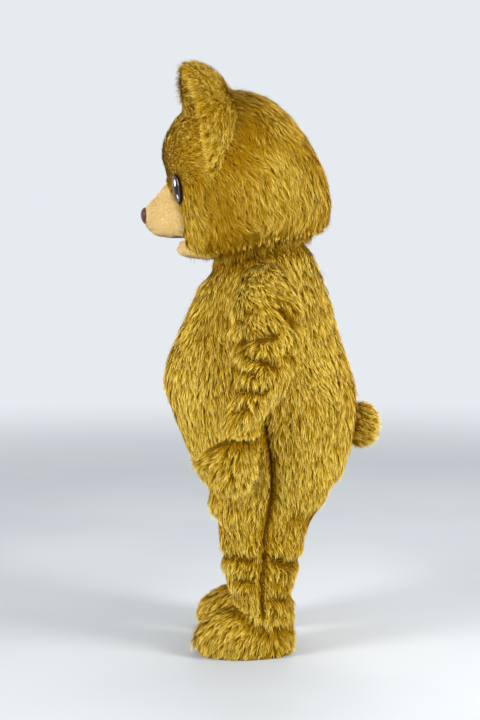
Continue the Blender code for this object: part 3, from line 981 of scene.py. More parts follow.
@dataclass(frozen=True)
class NapFinish(Finish):
    """The cloth a pile stands on, streaked by its underfur."""

    dark: Colour = (0.1, 0.05, 0.01)
    light: Colour = (0.3, 0.2, 0.03)
    across: float = 420.0
    along: float = 60.0
    relief: float = 0.5

    def pattern(self, bench: Bench) -> Sockets:
        """Streaks from dark to light, in patches, with a bump along them.

        Args:
            bench: the tree's bench.

        Returns:
            Sockets by the name of the shader's input.
        """
        tree = shared_group("fibre_streaks", {"Across": self.across, "Along": self.along}, fibre_streaks)
        group = bench.node("Group", node_tree=tree, in_Across=self.across, in_Along=self.along).outputs
        body = bench.mixed(group["Streak"], self.dark, self.light)
        body = bench.mixed(bench.maths("MULTIPLY", group["Patch"], 0.3), body, self.light)
        return {"Base Color": body, "Normal": bench.bump(group["Streak"], self.relief, 0.003)}


@dataclass(frozen=True)
class KnitFinish(Finish):
    """The knitted back of the cloth, seen inside the costume."""

    colour: Colour = (0.42, 0.33, 0.2)
    pitch: float = 0.0022

    def pattern(self, bench: Bench) -> Sockets:
        """Ribs of loops: two crossed waves, with shade painted darker between the loops.

        Args:
            bench: the tree's bench.

        Returns:
            Sockets by the name of the shader's input.
        """
        place = bench.place()
        scale = 0.3 / self.pitch
        ribs, loops = (
            bench.node("TexWave", wave_type="BANDS", bands_direction=way, in_Scale=scale, in_Vector=place)
            for way in ("Z", "DIAGONAL")
        )
        height = bench.maths("MULTIPLY", ribs.outputs[1], loops.outputs[1])
        body = bench.mixed(height, tuple(0.55 * part for part in self.colour), self.colour)
        return {"Base Color": body, "Normal": bench.bump(height, 0.4, 0.001)}


@dataclass(frozen=True)
class MouldedFinish(Finish):
    """Moulded vinyl or foam: an even colour broken by a fine grain and slow patches."""

    colour: Colour = (0.06, 0.01, 0.01)
    patch: Colour = (0.1, 0.02, 0.01)
    grain: float = 900.0
    relief: float = 0.1

    def pattern(self, bench: Bench) -> Sockets:
        """Patches of colour, and a grain that also roughens the surface.

        Args:
            bench: the tree's bench.

        Returns:
            Sockets by the name of the shader's input.
        """
        place = bench.place()
        patch = bench.node("TexNoise", in_Scale=28.0, in_Detail=3.0, in_Vector=place)
        grain = bench.node("TexNoise", in_Scale=self.grain, in_Detail=2.0, in_Vector=place).outputs[0]
        return {
            "Base Color": bench.mixed(bench.eased(patch.outputs[0], 0.35, 0.7), self.colour, self.patch),
            "Roughness": bench.maths("MULTIPLY_ADD", grain, 0.2, self.roughness - 0.1),
            "Normal": bench.bump(grain, self.relief, 0.0006),
        }


@dataclass(frozen=True)
class EyeFinish(Finish):
    """A painted eye under clear acrylic, drawn as ovals on the piece's own map, with painted highlights."""

    rim: Colour = (0.014, 0.004, 0.003)
    iris: Colour = (0.15, 0.095, 0.08)
    pupil: Colour = (0.003, 0.003, 0.004)
    glint: Colour = (0.85, 0.88, 0.92)

    def oval(self, bench: Bench, parts: object, middle: Pair, half: Pair) -> bpy.types.NodeSocket:
        """A soft-edged oval mask.

        Args:
            bench: the tree's bench.
            parts: the map's two places.
            middle: the oval's middle on the map.
            half: its half sizes.

        Returns:
            One inside the oval, nothing outside.
        """
        apart = [bench.maths("SUBTRACT", parts[i], middle[i]) for i in (0, 1)]
        away = [bench.maths("DIVIDE", apart[i], half[i]) for i in (0, 1)]
        far = bench.maths("ADD", *(bench.maths("POWER", part, 2.0) for part in away))
        return bench.maths("SUBTRACT", 1.0, bench.eased(far, 0.86, 1.14))

    def pattern(self, bench: Bench) -> Sockets:
        """Rim, iris lightening downwards, pupil and two painted highlights, one over another.

        Args:
            bench: the tree's bench.

        Returns:
            Sockets by the name of the shader's input.
        """
        parts = bench.chart()
        iris = bench.mixed(bench.eased(parts[1], 0.75, 0.2), tuple(0.45 * c for c in self.iris), self.iris)
        body: object = self.rim
        for middle, half, colour in (
            ((0.53, 0.5), (0.38, 0.43), iris), ((0.58, 0.5), (0.29, 0.34), self.pupil),
            # The last two ovals are highlights painted on the eye.
            ((0.60, 0.68), (0.11, 0.11), self.glint), ((0.66, 0.24), (0.05, 0.07), self.glint),
        ):
            body = bench.mixed(self.oval(bench, parts, middle, half), body, colour)
        return {"Base Color": body}


# The root is shade painted deep in the pile and the tip is light painted through the hair; the middle is the
# fur's own gold.
GOLDEN_LOCKS = LockFinish(
    "golden_locks", sheen=0.05, sheen_tint=(1.0, 0.78, 0.30), specular=0.05,
    root=(0.085, 0.031, 0.000), middle=(0.560, 0.326, 0.003),
    tip=(0.960, 0.775, 0.190), shade=(0.280, 0.127, 0.000),
)
# The cloth under the golden pile is coloured dark as painted shade deep in the pile.
GOLDEN_NAP = NapFinish(
    "golden_nap", roughness=0.9, sheen=0.05, sheen_tint=(1.0, 0.8, 0.4), specular=0.02,
    dark=(0.040, 0.014, 0.000), light=(0.170, 0.080, 0.001),
)
CREAM_LOCKS = LockFinish(
    "cream_locks", sheen=0.2, sheen_tint=(1.0, 0.95, 0.85), specular=0.05,
    root=(0.46, 0.27, 0.07), middle=(0.60, 0.40, 0.13), tip=(0.86, 0.75, 0.46), shade=(0.54, 0.31, 0.08),
)
CREAM_NAP = NapFinish(
    "cream_nap", roughness=0.9, sheen=0.2, sheen_tint=(1.0, 0.95, 0.85), specular=0.05,
    dark=(0.54, 0.34, 0.10), light=(0.70, 0.52, 0.22), across=240.0, along=200.0, relief=0.25,
)
KNIT_BACK = KnitFinish("knit_back", roughness=0.95)
NOSE_VINYL = MouldedFinish(
    "nose_vinyl", roughness=0.36, specular=0.5, colour=(0.060, 0.010, 0.006), patch=(0.085, 0.018, 0.010),
)
SOLE_FOAM = MouldedFinish(
    "sole_foam", roughness=0.85, specular=0.3, colour=(0.030, 0.028, 0.027), patch=(0.050, 0.047, 0.044),
    grain=500.0, relief=0.5,
)
EYE_ACRYLIC = EyeFinish("eye_acrylic", roughness=0.12, specular=0.25)


def dress(piece: bpy.types.Object, node: str, slot: str, *finishes: Finish) -> None:
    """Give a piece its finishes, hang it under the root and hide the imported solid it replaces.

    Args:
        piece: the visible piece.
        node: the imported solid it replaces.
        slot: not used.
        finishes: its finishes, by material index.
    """
    for finish in finishes:
        piece.data.materials.append(finish.material())
    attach(piece, "root")
    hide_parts(node)


def untrimmed(points: Array) -> Array:
    """Full length everywhere."""
    return np.ones(len(points))


def downwards(points: Array, normals: Array) -> Array:
    """Combed straight down, a little outwards."""
    return np.array((0.0, 0.0, -1.0)) + 0.15 * normals


def upwards(points: Array, normals: Array) -> Array:
    """Combed up and outwards, to fall over."""
    return np.array((0.0, 0.0, 1.0)) + 0.8 * normals


@dataclass(frozen=True)
class Fringe:
    """Longer locks that hang from an edge of a piece, on a strip of it.

    Their roots stand as on a wall: they hang down whatever way the cloth itself faces.
    """

    skin: Skin
    length: float = 0.036
    density: float = 150_000.0
    tone: float = 0.0
    upright: bool = False

    def grow(self, seed: int) -> Locks:
        """The fringe's locks.

        Args:
            seed: the random source's start.

        Returns:
            Its locks.
        """
        points = self.skin.points
        level = self.skin.normals * np.array((1.0, 1.0, 0.0))
        strip = Skin(points, unit(level + 1e-9), self.skin.closed)
        coats = tuple(
            replace(
                coat, length=self.length * share, density=self.density / 2, lift=lift,
                tone=coat.tone + self.tone,
            )
            for coat, share, lift in ((UNDERCOAT, 0.8, 10.0), (GUARD_HAIR, 1.05, 16.0))
        )
        comb = upwards if self.upright else downwards
        return Pelt(coats, unruly=0.5, stray=0.12, droop=0.15).grow(strip, comb, untrimmed, seed)


@dataclass
class FurredPiece:
    """One cut piece of pile fabric: the cloth and the pile it carries.

    The cloth is a wall inwards from the skin, or a stuffed body where wall is None.
    """

    node: str
    skin: Skin
    wall: float | None
    pelt: Pelt
    hold: Hold
    seed: int
    comb: Comb = downwards
    trim: Trim = untrimmed
    fringes: tuple[Fringe, ...] = ()
    locks: Finish = GOLDEN_LOCKS
    nap: Finish = GOLDEN_NAP
    slot: str = "golden_fur"
    fill: float = 1.0

    def build(self) -> None:
        """Make the cloth and its pile, dress them and log their sizes."""
        name = f"{self.node}_cloth"
        if self.wall is None:
            cloth = solid_object(name, self.skin)
            dress(cloth, self.node, self.slot, self.nap)
        else:
            cloth = wall_object(name, self.skin, self.wall)
            dress(cloth, self.node, self.slot, self.nap, KNIT_BACK)
        grown = [self.pelt.grow(self.skin, self.comb, self.trim, self.seed)]
        grown += [fringe.grow(self.seed + FRINGE_SEED) for fringe in self.fringes]
        pile = Locks.joined(grown).piece(f"{self.node}_pile")
        dress(pile, self.node, self.slot, self.locks)
        area = float(self.skin.areas().sum())
        if self.hold is Hold.PADDED:
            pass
        else:
            flat = self.skin.cut()
        log.info("%s: %.3f m2, %d faces of cloth, %d of pile", self.node, area,
                 len(cloth.data.polygons), len(pile.data.polygons))


def pressed(points: Array, normals: Array, creases: tuple[Crease, ...] = (), closed: bool = False) -> Skin:
    """The cloth's skin under the pile of an outline, with creases pressed into it.

    Args:
        points: the outline's grid.
        normals: its outward normals.
        creases: the creases.
        closed: whether the last column joins the first.

    Returns:
        The skin, with shade painted in its creases and just above them, where they shade the pile.
    """

    def pressing(at: Array) -> Array:
        """All creases together."""
        return sum((crease.press(at) for crease in creases), np.zeros(points.shape[:-1]))

    press, below = pressing(points), pressing(points - np.array((0.0, 0.0, 0.013)))
    skin = Skin.over(points - normals * (PILE + press)[..., None], normals, closed)
    # Shade painted in the creases and just above them.
    skin.painted_shade = np.clip((np.maximum(press, 0.8 * below) - 0.004) / 0.009, 0.0, 1.0)
    return skin


# ---------------------------------------------------------------- suit


@dataclass(frozen=True)
class Suit:
    """The bodysuit's four quarters, from the neck to the ankles."""

    torso: Outline = Outline("height front back half_width", (
        (1.300, -0.152, 0.146, 0.165), (1.255, -0.172, 0.186, 0.198), (1.190, -0.198, 0.226, 0.226),
        (1.100, -0.240, 0.254, 0.254), (1.000, -0.284, 0.283, 0.288), (0.920, -0.312, 0.310, 0.310),
        (0.860, -0.315, 0.326, 0.320), (0.780, -0.293, 0.330, 0.324), (0.700, -0.262, 0.322, 0.322),
        (0.620, -0.230, 0.305, 0.314), (0.540, -0.200, 0.274, 0.304), (0.470, -0.166, 0.222, 0.294),
        (0.400, -0.140, 0.170, 0.284),
    ))
    leg: Outline = Outline("height front back inner outer", (
        (0.600, -0.222, 0.306, 0.000, 0.310), (0.520, -0.212, 0.282, 0.000, 0.302),
        (0.460, -0.172, 0.224, 0.000, 0.293), (0.425, -0.150, 0.186, 0.002, 0.288),
        (0.380, -0.134, 0.160, 0.012, 0.284), (0.320, -0.130, 0.150, 0.022, 0.281),
        (0.260, -0.117, 0.130, 0.032, 0.276), (0.200, -0.102, 0.118, 0.040, 0.272),
        (0.120, -0.086, 0.122, 0.046, 0.268),
    ))
    neck_slope: float = 0.27
    neck_fade: Pair = (1.18, 1.29)
    armhole_height: float = 1.150
    armhole_radius: float = 0.115
    armhole_reach: float = 0.30
    crotch: float = 0.425
    leg_blend_top: float = 0.585
    hem_front: float = 0.180
    hem_back: float = 0.122
    hem_fade: float = 0.115
    columns: int = 28
    neck_rows: tuple[float, ...] = (1.300, 1.282)
    armhole_rows: int = 15
    below_armhole: tuple[float, int] = (1.020, 50)
    leg_rows: int = 32
    side_seam: Pair = (0.13, 0.98)
    seam_depth: float = 0.009
    seam_width: float = 0.022
    parting_width: float = 0.014
    bare_width: float = 0.004
    side_reach: float = 0.2
    # Height and fade of the shadow painted on the suit under the head.
    head_shade: Pair = (1.255, 0.030)
    seed: int = 100
    pelt: Pelt = Pelt()
    creases: tuple[Crease, ...] = (
        Crease((0.27, -0.125, 0.338), (0.28, -0.015, 0.330), 0.016, 0.013, 0.15),
        Crease((0.27, 0.025, 0.335), (0.25, 0.135, 0.300), 0.018, 0.017, 0.15),
        Crease((0.27, 0.035, 0.215), (0.26, 0.100, 0.190), 0.015, 0.014),
        Crease((0.27, -0.095, 0.255), (0.275, -0.020, 0.270), 0.014, 0.009),
        Crease((0.31, -0.165, 0.560), (0.31, -0.060, 0.520), 0.030, 0.006, 0.10),
        Crease((0.30, 0.090, 0.480), (0.29, 0.220, 0.450), 0.040, 0.009, 0.0),
        Crease((0.24, 0.090, 1.190), (0.25, 0.200, 1.100), 0.024, 0.008),
        Crease((0.22, -0.150, 0.430), (0.04, -0.150, 0.450), 0.032, 0.010, 0.0, (1.0, 0.4, 1.0)),
        Crease((0.25, -0.120, 0.330), (0.10, -0.130, 0.322), 0.018, 0.007, 0.10, (1.0, 0.4, 1.0)),
        Crease((0.24, 0.150, 0.318), (0.08, 0.150, 0.305), 0.020, 0.008, 0.10, (1.0, 0.4, 1.0)),
        Crease((0.24, 0.190, 0.455), (0.04, 0.200, 0.475), 0.042, 0.015, 0.0, (1.0, 0.4, 1.0)),
        Crease((0.22, 0.125, 0.205), (0.10, 0.120, 0.190), 0.016, 0.008, 0.15, (1.0, 0.4, 1.0)),
        Crease((0.05, -0.060, 0.330), (0.04, 0.080, 0.318), 0.018, 0.012),
    )

    def outline(self, around: Array, height: Array) -> tuple[Array, Array]:
        """The left half's outline and outward normals.

        A row is half an ellipse above the crotch and a whole one round the leg below it,
        eased from one to the other where the belly divides.

        Args:
            around: from -1 at the centre front over 0 at the side to 1 at the centre back.
            height: height above the floor.

        Returns:
            Points and normals.
        """
        torso, leg = radians(90.0) * around, radians(180.0) * around
        share = smoothstep((self.leg_blend_top - height) / (self.leg_blend_top - self.crotch))
        middle, half_depth = self.torso.span("front", "back", height)
        width = self.torso.at("half_width", height)
        torso_x, torso_y = width * np.cos(torso), middle + half_depth * np.sin(torso)
        torso_normal = unit(stacked(np.cos(torso) / width, np.sin(torso) / half_depth, 0.0))
        middle, half_depth = self.leg.span("front", "back", height)
        inner, outer = self.leg.at("inner", height), self.leg.at("outer", height)
        inner = np.where(height > self.crotch, -PILE, inner - PILE)
        half_width = (outer - inner) / 2
        leg_x = (inner + outer) / 2 + half_width * np.cos(leg)
        leg_y = middle + half_depth * np.sin(leg)
        leg_normal = unit(stacked(np.cos(leg) / half_width, np.sin(leg) / half_depth, 0.0))
        x = (1 - share) * torso_x + share * leg_x
        y = (1 - share) * torso_y + share * leg_y
        spread = np.broadcast_to(share, x.shape)[..., None]
        normal = unit((1 - spread) * torso_normal + spread * leg_normal)
        neck = smoothstep((height - self.neck_fade[0]) / (self.neck_fade[1] - self.neck_fade[0]))
        hem = smoothstep(1.0 - (height - self.hem_back) / self.hem_fade)
        rise = (self.hem_front - self.hem_back) * np.maximum(-np.sin(leg), 0.0) * hem
        return stacked(x, y, height + self.neck_slope * y * neck + rise), normal

    def seam_pinch(self, around: Array, height: Array) -> Array:
        """How far the side seam draws the cloth in, from the hem up to the sleeve.

        Args:
            around: from -1 at the front over 0 at the side to 1 at the back.
            height: height above the floor.

        Returns:
            Depths in metres.
        """
        low, high = self.side_seam
        fade = smoothstep((height - low) / 0.05) * smoothstep((high - height) / 0.12)
        return self.seam_depth * fade * np.exp(-((around / self.seam_width) ** 2))

    def skin(self, quarter: str, side: Side) -> Skin:
        """The pile side of a quarter.

        Args:
            quarter: front or back.
            side: left or right.

        Returns:
            The skin, with its armhole at the side edge.
        """
        turns = np.linspace(0.0, pi, self.armhole_rows)
        armhole = self.armhole_height + self.armhole_radius * np.cos(turns)
        top, rows = self.below_armhole
        below = np.linspace(top, self.crotch + 0.012, rows)
        leg = np.linspace(self.crotch, self.hem_back, self.leg_rows)
        height = np.concatenate((self.neck_rows, armhole, below, leg))[:, None]
        open_share = 1.0 - ((height - self.armhole_height) / self.armhole_radius) ** 2
        reach = 1.0 - self.armhole_reach * np.sqrt(np.clip(open_share, 0.0, 1.0))
        share = np.linspace(0.0, 1.0, self.columns + 1)[None, :]
        around = -1.0 + reach * share if quarter == "front" else 1.0 - reach * share
        points, normals = self.outline(around, height)
        pinch = self.seam_pinch(around, height)
        skin = pressed(points - pinch[..., None] * normals, normals, creases_on(side, self.creases, 0.012))
        # Shade is painted along the side seam's groove and as a shadow under the head.
        low, fade = self.head_shade
        seam = np.clip(pinch / self.seam_depth, 0.0, 1.0) ** 3
        under_head = 0.9 * smoothstep((height - low) / fade)
        skin.painted_shade = np.maximum(np.maximum(skin.painted_shade, seam), under_head)
        high = np.broadcast_to(height, around.shape) >= self.crotch
        skin.points[..., 0] = np.where(high, np.maximum(skin.points[..., 0], 0.0002), skin.points[..., 0])
        return skin.on(side)

    def beside_seam(self, points: Array) -> Array:
        """How far behind the side seam points are; negative in front of it."""
        return points[:, 1] - self.torso.span("front", "back", points[:, 2])[0]

    def seam_share(self, points: Array) -> Array:
        """How much the side seam holds down the pile, by height."""
        return smoothstep((0.93 - points[:, 2]) / 0.12)

    def comb(self, points: Array, normals: Array) -> Array:
        """Down the body, fanning out from the neck, and away from the side seam.

        Args:
            points: the places asked about.
            normals: the outward normals there.

        Returns:
            Directions.
        """
        high = smoothstep((points[:, 2] - 1.10) / 0.16)
        beside = self.beside_seam(points)
        parting = np.sign(beside) * np.exp(-((beside / self.parting_width) ** 2)) * self.seam_share(points)
        outer = np.abs(points[:, 0]) > self.side_reach
        sweep = 0.10 + 0.95 * points[:, 1] * (0.4 + 0.6 * high) + 0.7 * parting * outer
        lean = np.stack((0.55 * high * np.sign(points[:, 0]), sweep, 0 * high), axis=-1)
        return lean + np.array((0.0, 0.0, -1.0))

    def trim(self, points: Array) -> Array:
        """Nearly none on the side seam, and short where the legs meet.

        Args:
            points: the places asked about.

        Returns:
            Shares of the full length.
        """
        height = points[:, 2]
        seam = np.exp(-((self.beside_seam(points) / self.bare_width) ** 2)) * self.seam_share(points)
        seam = seam * (np.abs(points[:, 0]) > self.side_reach)
        between = (np.abs(points[:, 0]) < 0.05) & (height < self.crotch - 0.01)
        legs = 1.0 - 0.16 * smoothstep((0.50 - height) / 0.08)
        return (1.0 - 0.9 * seam) * np.where(between, 0.5, legs)

    def fringes(self, skin: Skin) -> tuple[Fringe, ...]:
        """Pile that hangs over the boot from the hem, and stands round the neck.

        Args:
            skin: the quarter's skin.

        Returns:
            The fringes at hem and neck.
        """
        return (
            Fringe(skin.part(slice(-3, None)), 0.020, 110_000.0),
            # The neck's fringe is toned darker as painted shade under the head.
            Fringe(skin.part(slice(0, 2)), 0.022, 90_000.0, -0.30, upright=True),
        )

    def build(self) -> None:
        """Both fronts and both backs."""
        for number, (quarter, side) in enumerate((q, s) for q in ("front", "back") for s in Side):
            skin = self.skin(quarter, side)
            FurredPiece(f"suit_{quarter}_{side.label}", skin, CLOTH, self.pelt, Hold.HUNG, self.seed + number,
                        self.comb, self.trim, self.fringes(skin)).build()


# ---------------------------------------------------------------- sleeves


@dataclass(frozen=True)
class Sleeves:
    """One-piece sleeves, from the armholes to the cuffs over the mittens."""

    suit: Suit
    outline: Outline = Outline("inner_x inner_height outer_x outer_height front back", (
        (0.277, 1.035, 0.200, 1.265, -0.078, 0.122), (0.293, 1.026, 0.270, 1.262, -0.080, 0.128),
        (0.306, 1.014, 0.336, 1.238, -0.082, 0.131), (0.317, 0.998, 0.396, 1.196, -0.084, 0.132),
        (0.324, 0.980, 0.445, 1.138, -0.084, 0.130), (0.329, 0.958, 0.477, 1.066, -0.080, 0.125),
        (0.334, 0.928, 0.492, 0.984, -0.068, 0.110), (0.338, 0.888, 0.493, 0.912, -0.064, 0.094),
        (0.341, 0.845, 0.488, 0.852, -0.084, 0.066), (0.341, 0.795, 0.479, 0.795, -0.112, 0.024),
        (0.340, 0.742, 0.470, 0.742, -0.124, 0.004),
    ), by_row=True)
    rows: int = 56
    columns: int = 44
    seed: int = 120
    cuff_pile: float = 0.45
    cuff_fade: Pair = (0.745, 0.045)
    pelt: Pelt = Pelt((UNDERCOAT.sized(1.0, 1.0, 1.15), GUARD_HAIR.sized(0.95, 1.0, 1.25)), unruly=0.5)
    creases: tuple[Crease, ...] = (
        Crease((0.42, 0.035, 1.154), (0.46, 0.105, 1.078), 0.015, 0.017),
        Crease((0.47, -0.078, 1.030), (0.48, 0.052, 1.058), 0.015, 0.0175),
        Crease((0.49, -0.050, 0.998), (0.49, 0.055, 0.955), 0.014, 0.017),
        Crease((0.49, -0.070, 0.953), (0.49, 0.000, 0.936), 0.012, 0.012),
        Crease((0.49, -0.060, 0.888), (0.49, 0.022, 0.883), 0.014, 0.012),
        Crease((0.47, 0.075, 0.985), (0.47, 0.112, 1.040), 0.013, 0.010),
        Crease((0.36, 0.020, 1.225), (0.42, 0.085, 1.160), 0.017, 0.009),
        Crease((0.42, -0.030, 1.150), (0.45, -0.070, 1.090), 0.018, 0.009),
        Crease((0.47, -0.095, 0.820), (0.48, -0.030, 0.842), 0.016, 0.009),
        Crease((0.34, -0.085, 1.035), (0.47, -0.075, 1.020), 0.016, 0.014, 0.35, (1.0, 0.4, 1.0)),
        Crease((0.35, -0.075, 0.930), (0.46, -0.070, 0.955), 0.015, 0.012, 0.35, (1.0, 0.4, 1.0)),
        Crease((0.35, 0.115, 1.000), (0.46, 0.120, 0.985), 0.016, 0.012, 0.35, (1.0, 0.4, 1.0)),
        Crease((0.36, 0.125, 1.080), (0.45, 0.125, 1.110), 0.016, 0.010, 0.35, (1.0, 0.4, 1.0)),
    )

    def form(self, around: Array, level: Array) -> Array:
        """Tilted ellipses between an inner and an outer line, started at the armhole.

        Args:
            around: radians from the outer side towards the back.
            level: row number of the outline.

        Returns:
            Points of the left sleeve.
        """
        inner = stacked(self.outline.at("inner_x", level), 0.0, self.outline.at("inner_height", level))
        outer = stacked(self.outline.at("outer_x", level), 0.0, self.outline.at("outer_height", level))
        middle, half_depth = self.outline.span("front", "back", level)
        half = np.linalg.norm(outer - inner, axis=-1, keepdims=True) / 2
        across = unit(outer - inner) * half * np.cos(around)[..., None]
        return (inner + outer) / 2 + across + stacked(0.0, middle + half_depth * np.sin(around), 0.0)

    def skin(self, side: Side) -> Skin:
        """The pile side of a sleeve, eased onto the suit's armhole at its head.

        Args:
            side: left or right.

        Returns:
            The skin.
        """
        around, level = np.broadcast_arrays(ring_angles(self.columns), self.outline.levels(self.rows))
        points = self.form(around, level)
        normals = facing(form_normals(self.form, around, level), points - points.mean(axis=1, keepdims=True))
        skin = pressed(points, normals, creases_on(side, self.creases, -0.010), closed=True)
        height = self.suit.armhole_height + self.suit.armhole_radius * np.cos(around[0])
        edge, out = self.suit.outline(self.suit.armhole_reach * np.sin(around[0]), height)
        edge = edge - out * PILE
        edge = edge + unit(edge.mean(axis=0) - edge) * 2 * SEAM_GAP
        fade = (1.0 - smoothstep(level / 2.0))[..., None]
        eased = Skin.over(skin.points + (edge[None] - skin.points[:1]) * fade, normals, closed=True)
        eased.painted_shade = skin.painted_shade
        return eased.on(side)

    def comb(self, points: Array, normals: Array) -> Array:
        """Down the arm, swept a little backwards on the upper arm and forwards below.

        Args:
            points: the places asked about.
            normals: the outward normals there.

        Returns:
            Directions.
        """
        sweep = 0.35 * np.tanh((points[:, 2] - 0.97) / 0.1)
        out = 0.8 * np.sign(points[:, 0]) * smoothstep((points[:, 2] - 1.12) / 0.12)
        return np.stack((out, sweep, -np.ones(len(points))), axis=-1)

    def trim(self, points: Array) -> Array:
        """Shorter towards the cuff, so that its edge shows."""
        low, fade = self.cuff_fade
        return self.cuff_pile + (1 - self.cuff_pile) * smoothstep((points[:, 2] - low) / fade)

    def build(self) -> None:
        """Both sleeves."""
        for number, side in enumerate(Side):
            skin = self.skin(side)
            cuff = Fringe(skin.part(slice(-3, None)), 0.016, 120_000.0)
            FurredPiece(f"sleeve_{side.label}", skin, CLOTH, self.pelt, Hold.HUNG, self.seed + number,
                        self.comb, self.trim, (cuff,)).build()


# ---------------------------------------------------------------- mittens


@dataclass(frozen=True)
class Mittens:
    """Mittens of an outer and a palm panel, hanging at the sides."""

    outline: Outline = Outline("height front back inner_x outer_x thumb", (
        (0.780, -0.102, -0.012, 0.362, 0.450, 0.0), (0.745, -0.106, -0.008, 0.360, 0.452, 0.0),
        (0.718, -0.134, 0.002, 0.350, 0.461, 0.1), (0.692, -0.176, -0.001, 0.345, 0.466, 0.4),
        (0.668, -0.208, -0.005, 0.343, 0.468, 0.6), (0.648, -0.202, -0.007, 0.343, 0.468, 0.6),
        (0.630, -0.168, -0.009, 0.344, 0.466, 0.2), (0.600, -0.158, -0.016, 0.350, 0.460, 0.0),
        (0.574, -0.142, -0.034, 0.362, 0.448, 0.0), (0.562, -0.120, -0.060, 0.380, 0.430, 0.0),
        (0.558, -0.090, -0.090, 0.405, 0.405, 0.0),
    ), by_row=True)
    rows: int = 30
    columns: int = 16
    seed: int = 140
    # Height and fade of the shade painted under the cuff.
    cuff_shade: Pair = (0.700, 0.030)
    cuff_fade: Pair = (0.735, 0.03)
    pelt: Pelt = Pelt(
        (UNDERCOAT.sized(1.0, 1.0, 1.3), replace(GUARD_HAIR.sized(0.95, 1.0, 1.5), lift=26.0)),
        clump=0.016, unruly=0.5, stray=0.10,
    )

    def form(self, around: Array, level: Array) -> Array:
        """Ellipses down the hand, drawn out forwards into the thumb.

        Args:
            around: radians from the outer side towards the back.
            level: row number of the outline.

        Returns:
            Points of the left mitten.
        """
        forward = np.maximum(-np.sin(around), 0.0)
        narrow = 1 - self.outline.at("thumb", level) * forward**2
        middle, half = self.outline.span("inner_x", "outer_x", level)
        x = middle + half * np.cos(around) * narrow
        middle, half = self.outline.span("front", "back", level)
        return stacked(x, middle + half * np.sin(around), self.outline.at("height", level))

    def trim(self, points: Array) -> Array:
        """Short under the cuff."""
        top, fade = self.cuff_fade
        return 0.35 + 0.65 * smoothstep((top - points[:, 2]) / fade)

    def comb(self, points: Array, normals: Array) -> Array:
        """Down over the fingers, fanning out from the back of the hand."""
        fan = (points[:, 1] + 0.08) / 0.10
        return np.stack((0 * fan, 0.45 * fan, -np.ones(len(points))), axis=-1)

    def build(self) -> None:
        """Both panels of both mittens."""
        level = self.outline.levels(self.rows, 1.03)
        low, fade = self.cuff_shade
        for place, (panel, start) in enumerate((("back", -pi / 2), ("palm", pi / 2))):
            around = np.linspace(start, start + pi, self.columns)[None, :]
            angle, row = np.broadcast_arrays(around, level)
            points = self.form(angle, row)
            across = self.outline.span("inner_x", "outer_x", row)[0]
            middle = stacked(across, self.outline.span("front", "back", row)[0], points[..., 2])
            normals = facing(form_normals(self.form, angle, row), points - middle)
            skin = pressed(points, normals)
            # Shade is painted under the sleeve's cuff.
            skin.painted_shade = smoothstep((points[..., 2] - low) / fade)
            for number, side in enumerate(Side):
                FurredPiece(f"glove_{panel}_{side.label}", skin.on(side), CLOTH, self.pelt, Hold.HUNG,
                            self.seed + 2 * place + number, self.comb, self.trim).build()


# ---------------------------------------------------------------- boots


